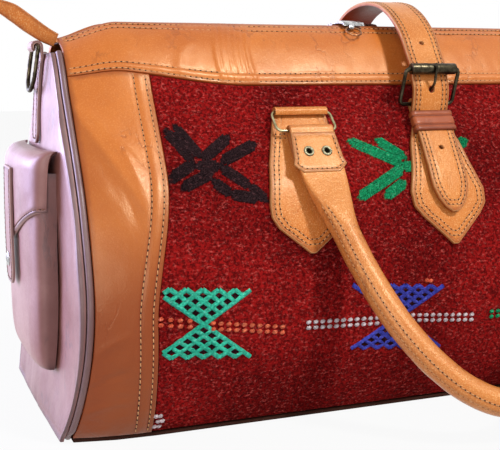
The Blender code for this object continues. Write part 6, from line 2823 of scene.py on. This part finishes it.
@dataclass
class EndFittings(SubAssembly):
    """What hangs on one end: a D-ring in its tab, and a pocket with its flap, strap and snap."""

    end: End = End.LEFT
    bar_below_top: float = 0.019
    wire: float = 0.0017
    ring_half_width: float = 0.0145
    ring_drop: float = 0.034
    ring_tilt: float = 9.0
    ring_corner: float = 0.0035
    tab_half_width: float = 0.0095
    tab_length: float = 0.073
    tab_thickness: float = 0.0025
    foot: float = 0.045
    mouth: float = 0.195
    half_width: float = 0.0650
    depth: float = 0.0185
    wall: float = 0.0025
    square: float = 5.0
    foot_radius: float = 0.055
    taper: float = 0.10
    foot_share: float = 0.45
    crowding: float = 1.6
    flap_top: float = 0.209
    flap_side_low: float = 0.166
    flap_middle_low: float = 0.138
    flap_wall: float = 0.0024
    flap_turn: float = 0.014
    flap_row: float = 0.085
    strap_half_width: float = 0.0150
    strap_thickness: float = 0.0024
    strap_tip: float = 0.103
    strap_top: float = 0.196
    snap_height: float = 0.122
    snap_radius: float = 0.0060
    snap_thickness: float = 0.0018

    @property
    def bar(self) -> Vector:
        """The centre of the D-ring's bar."""
        return self.tab_path()[1]

    def tab_path(self) -> tuple[list[Vector], Vector]:
        """The ring tab's middle line, and the centre of the bar that it turns round."""
        bar_z = SKIN.height - self.bar_below_top
        lift = SKIN.leather + GAP + self.tab_thickness / 2
        drop = SKIN.droop_at(SKIN.half_length, SKIN.height) * 0.75
        heights = spread(bar_z - self.tab_length, bar_z - 0.010 + drop, 20)
        path = [SKIN.end(0.0, z, self.end, lift) for z in heights]
        path.append(Vector((path[-1].x, 0.0, bar_z)))
        radius = self.wire + 0.0005 + self.tab_thickness / 2
        outward = RIGHT * self.end.value
        centre = path[-1] + outward * radius
        return path + arc(centre, radius, 180, -60, 20, outward, UP)[1:], centre

    def ring_tab(self) -> list[Line]:
        """The tab that holds the D-ring.

        Returns:
            Its stitch lines.
        """
        path, _ = self.tab_path()
        half = self.tab_half_width
        outline = ((0.0, 0.30 * half), (0.002, 0.72 * half), (0.005, 0.95 * half), (0.008, half), (1.0, half))
        ribbon = Ribbon(path, ACROSS, outline, self.tab_thickness, -self.end.value)
        sheet = ribbon.sheet(sewn((FITTING_ROW,)), plain, 0.0014)
        sheet.width = 2 * half
        self.hide(sheet, self.finishes.brown_cut, f"{self.end.word}_d_ring_tab", slot="brown_leather")
        return [pressed(ribbon.lay, ribbon.seam(FITTING_ROW, 0.004, 0.062), self.tab_thickness / 2)]

    def ring(self) -> None:
        """The D-ring."""
        tilt = math.radians(self.ring_tilt)
        down = Vector((self.end.value * math.sin(tilt), 0.0, -math.cos(tilt)))
        bar, wide, corner = self.bar, self.ring_half_width, self.ring_corner
        path = arc(bar + ACROSS * (wide - corner) + down * corner, corner, -90, 0, 7, ACROSS, down)
        path += arc(bar + down * (self.ring_drop - wide), wide, 0, 180, 25, ACROSS, down)
        path += arc(bar - ACROSS * (wide - corner) + down * corner, corner, 180, 270, 7, ACROSS, down)
        name = f"{self.end.word}_d_ring"
        metal = self.finishes.antique
        ring = self.kit.wires(name + "_wire", [evened(path, WIRE_STEP)], self.wire, metal, closed=True)
        dressed(ring, name + "_body", "antique_metal", name)

    def pouch(self, u: float, v: float, inset: float) -> Vector:
        """A point of the pouch.

        Args:
            u: Angle round it, -90 to 90 degrees in radians.
            v: Share of the way from its foot to its mouth.
            inset: Distance in from its outer face.

        Returns:
            The point.
        """
        bend = self.foot_share
        if v < bend:
            a = v / bend * math.pi / 2
            z = self.foot + inset + self.foot_radius * (1 - math.cos(a))
            fullness = math.sin(a) ** (2 / self.square)
        else:
            low = self.foot + inset + self.foot_radius
            z = low + (self.mouth - low) * (v - bend) / (1 - bend)
            fullness = 1.0
        power = 2 / self.square
        half, depth = self.half_width - inset, self.depth - inset
        y = half * signed_power(math.sin(u), power)
        stand = depth * fullness * max(0.0, math.cos(u)) ** power
        narrow = 1.0 - self.taper * (1.0 - fullness)
        return SKIN.end(y * narrow, z, self.end, SKIN.leather + GAP + stand)

    def slack(self, u: float, v: float) -> float:
        """How far the pouch's hide bulges or sags at a place."""
        inside = math.cos(u) ** 2 * min(1.0, v / 0.12) * min(1.0, (1 - v) / 0.03)
        swell = 0.0011 * ripple(u * 0.04, v * 0.10, self.end.value, 0.050, 3.0)
        wrinkle = 0.0006 * ripple(u * 0.05, v * 0.05, self.end.value, 0.014, 6.0)
        return inside * (swell + wrinkle)

    def round_the_pouch(self, count: int) -> list[float]:
        """Angles round the pouch, close together where it turns back to the bag."""
        return [signed_power(share, self.crowding) * math.pi / 2 for share in spread(-1.0, 1.0, count)]

    def pocket(self) -> None:
        """The pouch: an outer and an inner face joined round the rim."""
        shell = Shell()
        angles, rises = self.round_the_pouch(75), [s**1.25 for s in spread(0.0, 1.0, 64)]
        faces = []
        for inset in (0.0, self.wall):
            rows = []
            for v in rises:
                row = []
                for u in angles:
                    at = self.pouch(u, v, inset)
                    if inset == 0.0:
                        out = self.pouch(u, v, 0.0) - self.pouch(u, v, 0.001)
                        if out.length > 0.0001:
                            at = at + out.normalized() * self.slack(u, v)
                    rim = 0.0015 + min((1 - v) * 0.10, v * 0.06)
                    row.append(shell.point(at, (u * 0.05, v * 0.15), rim, self.shade(u, v)))
                rows.append(row)
            faces.append(rows)
        shell.walled(*faces)
        self.hide(shell, self.finishes.brown, f"{self.end.word}_pocket", slot="brown_leather", sharp=70.0)

    def shade(self, u: float, v: float) -> float:
        """Painted shade: darker at the pouch's foot and where it meets the bag."""
        return min(1.0, 0.45 * smooth_step((0.22 - v) / 0.22) + 0.35 * smooth_step((abs(u) - 1.25) / 0.30))

    def flap_point(self, u: float, v: float, clearance: float) -> Vector:
        """A point of the flap.

        Args:
            u: Angle round it in radians.
            v: 0 to 1 up its front, 1 to 2 over its turned top.
            clearance: How far it lies off the pouch.

        Returns:
            The point.
        """
        power = 2 / self.square
        half, depth = self.half_width + clearance, self.depth + clearance
        y = half * signed_power(math.sin(u), power)
        stand = depth * abs(math.cos(u)) ** power
        share = min(1.0, abs(y) / self.half_width)
        low = self.flap_middle_low + (self.flap_side_low - self.flap_middle_low) * share
        bend = self.flap_top - self.flap_turn + clearance
        if v <= 1.0:
            z = low + (bend - low) * v
        else:
            angle = (v - 1.0) * math.pi / 2 * 0.97
            z = bend + self.flap_turn * math.sin(angle)
            stand *= math.cos(angle) ** 0.5
        return SKIN.end(y, z, self.end, SKIN.leather + GAP + stand)

    def flap(self) -> list[Line]:
        """The flap.

        Returns:
            Its stitch lines.
        """
        shell, near = Shell(), 2 * GAP
        angles = [signed_power(s, self.crowding) * 0.47 * math.pi for s in spread(-1.0, 1.0, 71)]
        rises = [1.12 * s for s in spread(0.0, 0.88, 34)] + spread(1.02, 2.0, 16)
        faces = []
        for clearance in (near + self.flap_wall, near):
            rows = []
            for v in rises:
                row = []
                for u in angles:
                    edge = swell = 0.0
                    if clearance > near:
                        edge = 0.0009 * max(0.0, 1.0 - v / 0.03) ** 2
                        edge += 0.0005 * hump(v - self.flap_row, 0.025)
                        swell = 0.0006 * ripple(u * 0.05, v * 0.06, self.end.value, 0.030, 5.0)
                    at = self.flap_point(u, v, clearance - edge + swell * math.cos(u))
                    rim = 0.0002 + v * 0.05
                    # Painted shade: darker over the turned top and at the sides, where the flap meets the
                    # bag.
                    dark = 0.30 * smooth_step((v - 1.2) / 0.8) + 0.25 * smooth_step((abs(u) - 1.25) / 0.25)
                    row.append(shell.point(at, (u * 0.05, v * 0.05), rim, min(1.0, dark)))
                rows.append(row)
            faces.append(rows)
        shell.walled(*faces)
        word = self.end.word
        cut = self.finishes.brown_cut
        self.hide(shell, cut, f"{word}_pocket_flap", f"{word}_flap", "brown_leather", 70.0)

        def lay(u: float, v: float, lift: float) -> Vector:
            """The flap's outer face."""
            return self.flap_point(u, v, near + self.flap_wall + lift - 0.0003)

        places = [(u, self.flap_row) for u in spread(-1.38, 1.38, 60)]
        return [pressed(lay, places, 0.0)]

    def strap(self) -> list[Line]:
        """The closing strap on the flap.

        Returns:
            Its stitch lines.
        """
        lift = SKIN.leather + GAP + self.depth + 3 * GAP + self.flap_wall + self.strap_thickness / 2
        path = [SKIN.end(0.0, z, self.end, lift) for z in spread(self.strap_tip, self.strap_top, 20)]
        half = self.strap_half_width
        outline = ((0.0, 0.45 * half), (0.002, 0.70 * half), (0.006, 0.90 * half), (0.010, half), (1.0, half))
        ribbon = Ribbon(path, ACROSS, outline, self.strap_thickness, -self.end.value)
        sheet = ribbon.sheet(sewn((FITTING_ROW,)), plain, 0.0016)
        sheet.width = 2 * half
        word = self.end.word
        self.hide(sheet, self.finishes.brown_cut, f"{word}_pocket_strap", f"{word}_flap", "brown_leather")
        seam = ribbon.seam(FITTING_ROW, SEAM_START, ribbon.length - 0.003)
        return [pressed(ribbon.lay, seam, self.strap_thickness / 2)]

    def snap(self) -> None:
        """The snap's domed cap, with a rolled rim."""
        lift = SKIN.leather + GAP + self.depth + 4 * GAP + self.flap_wall + self.strap_thickness
        centre = SKIN.end(0.0, self.snap_height, self.end, lift)
        profile = [(1.0, 0.0), (1.0, 0.22), (0.97, 0.40), (0.90, 0.52), (0.80, 0.50), (0.72, 0.56)]
        dome = spread(0.25, math.pi / 2 - 0.06, 9)
        profile += [(math.cos(a) * 0.66, 0.62 + 0.38 * math.sin(a)) for a in dome]
        loops = []
        for radius, share in profile:
            loops.append([
                centre + RIGHT * (self.end.value * share * self.snap_thickness)
                + (ACROSS * math.cos(a) + UP * math.sin(a)) * (radius * self.snap_radius)
                for a in spread(0.0, FULL_TURN, 41)[:-1]
            ])
        name = f"{self.end.word}_pocket_snap"
        cap = swept(name + "_cap", loops, self.finishes.silver)
        dressed(cap, f"{self.end.word}_flap", "silver_metal", name)

    def build(self) -> None:
        """All of one end's fittings."""
        still = self.ring_tab()
        self.ring()
        self.pocket()
        moving = self.flap() + self.strap()
        self.snap()
        self.shop.stitch(f"{self.end.word}_ring_tab", still, "bag", "brown_leather", dark=True)
        self.shop.stitch(f"{self.end.word}_flap", moving, f"{self.end.word}_flap", "brown_leather", dark=True)


# The base, its board and the lining


@dataclass
class Inside(SubAssembly):
    """The base, the stiff board on it and the cloth lining."""

    def build(self) -> None:
        """Softens the frame's own pieces and dresses them."""
        # The base panel gets the near-black hide: painted shade under the bag.
        for node, finish, slot, width in (
            ("base_panel", self.finishes.underside, "brown_leather", 0.0008),
            ("base_board", self.finishes.board, "board", 0.0004),
            ("lining", self.finishes.lining, "lining_cloth", 0.0002),
        ):
            piece = softened(node, f"{node}_piece", finish, width, 2)
            # A tone of 0.3 darkens the base panel's hide a little more, part of its painted shade; the cloth
            # finishes don't read it.
            for name, value in (("rim", 1.0), ("tone", 0.3)):
                made = piece.data.attributes.new(name, "FLOAT", "POINT")
                made.data.foreach_set("value", [value] * len(piece.data.vertices))
            dressed(piece, "bag", slot, node)


# The room


@dataclass(frozen=True)
class Lamp:
    """A soft area light."""

    name: str
    at: Point3
    aim: Point3
    size: float
    power: float
    colour: Colour

    def build(self) -> None:
        """Puts the light in the scene."""
        data = bpy.data.lights.new(self.name, "AREA")
        data.shape, data.size, data.energy, data.color = "DISK", self.size, self.power, self.colour
        lamp = bpy.data.objects.new(self.name, data)
        lamp.location = self.at
        lamp.rotation_euler = (Vector(self.aim) - Vector(self.at)).to_track_quat("-Z", "Y").to_euler()
        bpy.context.scene.collection.objects.link(lamp)


def seen_plainly(tree: Tree) -> Socket:
    """1 where the camera, or metal and glass, look straight at the room."""
    path = put(tree, "ShaderNodeLightPath")
    seen = math_node(tree, "MAXIMUM", path.outputs["Is Camera Ray"], path.outputs["Is Transmission Ray"])
    return math_node(tree, "MAXIMUM", seen, path.outputs["Is Glossy Ray"])


@dataclass(frozen=True)
class Studio:
    """A plain white room: floor, soft lights and the camera of the photograph."""

    camera_at: Point3 = (-0.4375, -0.795, 0.269)
    camera_turn: Point3 = (81.2, 0.0, -21.4)
    lens: float = 72.0
    sensor: float = 36.0
    floor_half: float = 6.0
    paper_glow: float = 0.93
    air: float = 0.33
    lamps: tuple[Lamp, ...] = (
        Lamp("key", (0.75, -1.50, 1.90), (-0.05, 0.0, 0.14), 0.32, 38.0, (1.0, 0.98, 0.94)),
        Lamp("fill", (-1.15, -1.75, 0.70), (-0.15, 0.0, 0.12), 1.1, 13.0, (1.0, 0.97, 0.95)),
        Lamp("window", (-0.95, 2.40, 0.30), (-0.30, 0.0, 0.12), 1.9, 17.0, (0.66, 0.64, 1.0)),
        Lamp("sky", (-1.95, 1.05, 0.70), (-0.30, 0.0, 0.13), 1.3, 88.0, (0.66, 0.64, 1.0)),
    )

    def floor(self) -> None:
        """The white floor."""
        half = self.floor_half
        mesh = bpy.data.meshes.new("floor")
        corners = [(-half, -half, 0.0), (half, -half, 0.0), (half, half, 0.0), (-half, half, 0.0)]
        mesh.from_pydata(corners, [], [(0, 1, 2, 3)])
        paper, tree, shader, place = started("white paper")
        cloud = ranged(tree, noise_at(tree, place, 3.0, 2.0), 0.3, 0.7)
        colour = blended(tree, cloud, (0.50, 0.50, 0.50), (0.53, 0.53, 0.53))
        tree.links.new(colour, shader.inputs["Base Color"])
        shader.inputs["Roughness"].default_value = 0.9
        shader.inputs["Specular IOR Level"].default_value = 0.1
        white = put(tree, "ShaderNodeEmission", {"Color": (1.0, 1.0, 1.0, 1.0), "Strength": 1.0})
        share = times(tree, seen_plainly(tree), self.paper_glow)
        mixed = put(tree, "ShaderNodeMixShader", {0: share, 1: shader.outputs[0], 2: white.outputs[0]})
        tree.links.new(mixed.outputs[0], tree.nodes["Material Output"].inputs["Surface"])
        mesh.materials.append(paper)
        linked("floor", mesh)

    def world(self) -> None:
        """Even light, and plain white behind the bag."""
        scene = bpy.context.scene
        scene.world = scene.world or bpy.data.worlds.new("room")
        scene.world.use_nodes = True
        tree = scene.world.node_tree
        tree.nodes.clear()
        lit = put(tree, "ShaderNodeBackground", {"Color": (0.94, 0.96, 1.0, 1.0), "Strength": self.air})
        white = put(tree, "ShaderNodeBackground", {"Color": (1.0, 1.0, 1.0, 1.0), "Strength": 1.0})
        seen = seen_plainly(tree)
        mixed = put(tree, "ShaderNodeMixShader", {0: seen, 1: lit.outputs[0], 2: white.outputs[0]})
        put(tree, "ShaderNodeOutputWorld", {"Surface": mixed.outputs[0]})

    def camera(self) -> None:
        """The camera, as it stood for the photograph."""
        data = bpy.data.cameras.new("camera")
        data.lens, data.sensor_width = self.lens, self.sensor
        camera = bpy.data.objects.new("camera", data)
        camera.location = self.camera_at
        camera.rotation_euler = [math.radians(turn) for turn in self.camera_turn]
        bpy.context.scene.collection.objects.link(camera)
        bpy.context.scene.camera = camera

    def build(self) -> None:
        """All of the room."""
        self.floor()
        self.world()
        self.camera()
        for lamp in self.lamps:
            lamp.build()
        bpy.context.scene.view_settings.view_transform = "Standard"


def main() -> None:
    """Builds the bag piece by piece, then the room."""
    logging.basicConfig(level=logging.INFO, format="%(message)s")
    shop = Workshop(Kit(), Finishes())
    parts = [
        KilimPanel(shop, Side.FRONT), KilimPanel(shop, Side.BACK), BodyLeather(shop), Handles(shop),
        Closure(shop), Zip(shop), EndFittings(shop, End.LEFT), EndFittings(shop, End.RIGHT), Inside(shop),
    ]
    for part in parts:
        part.build()
        LOG.info("made %s", type(part).__name__)
    Studio().build()


if __name__ == "__main__":
    main()
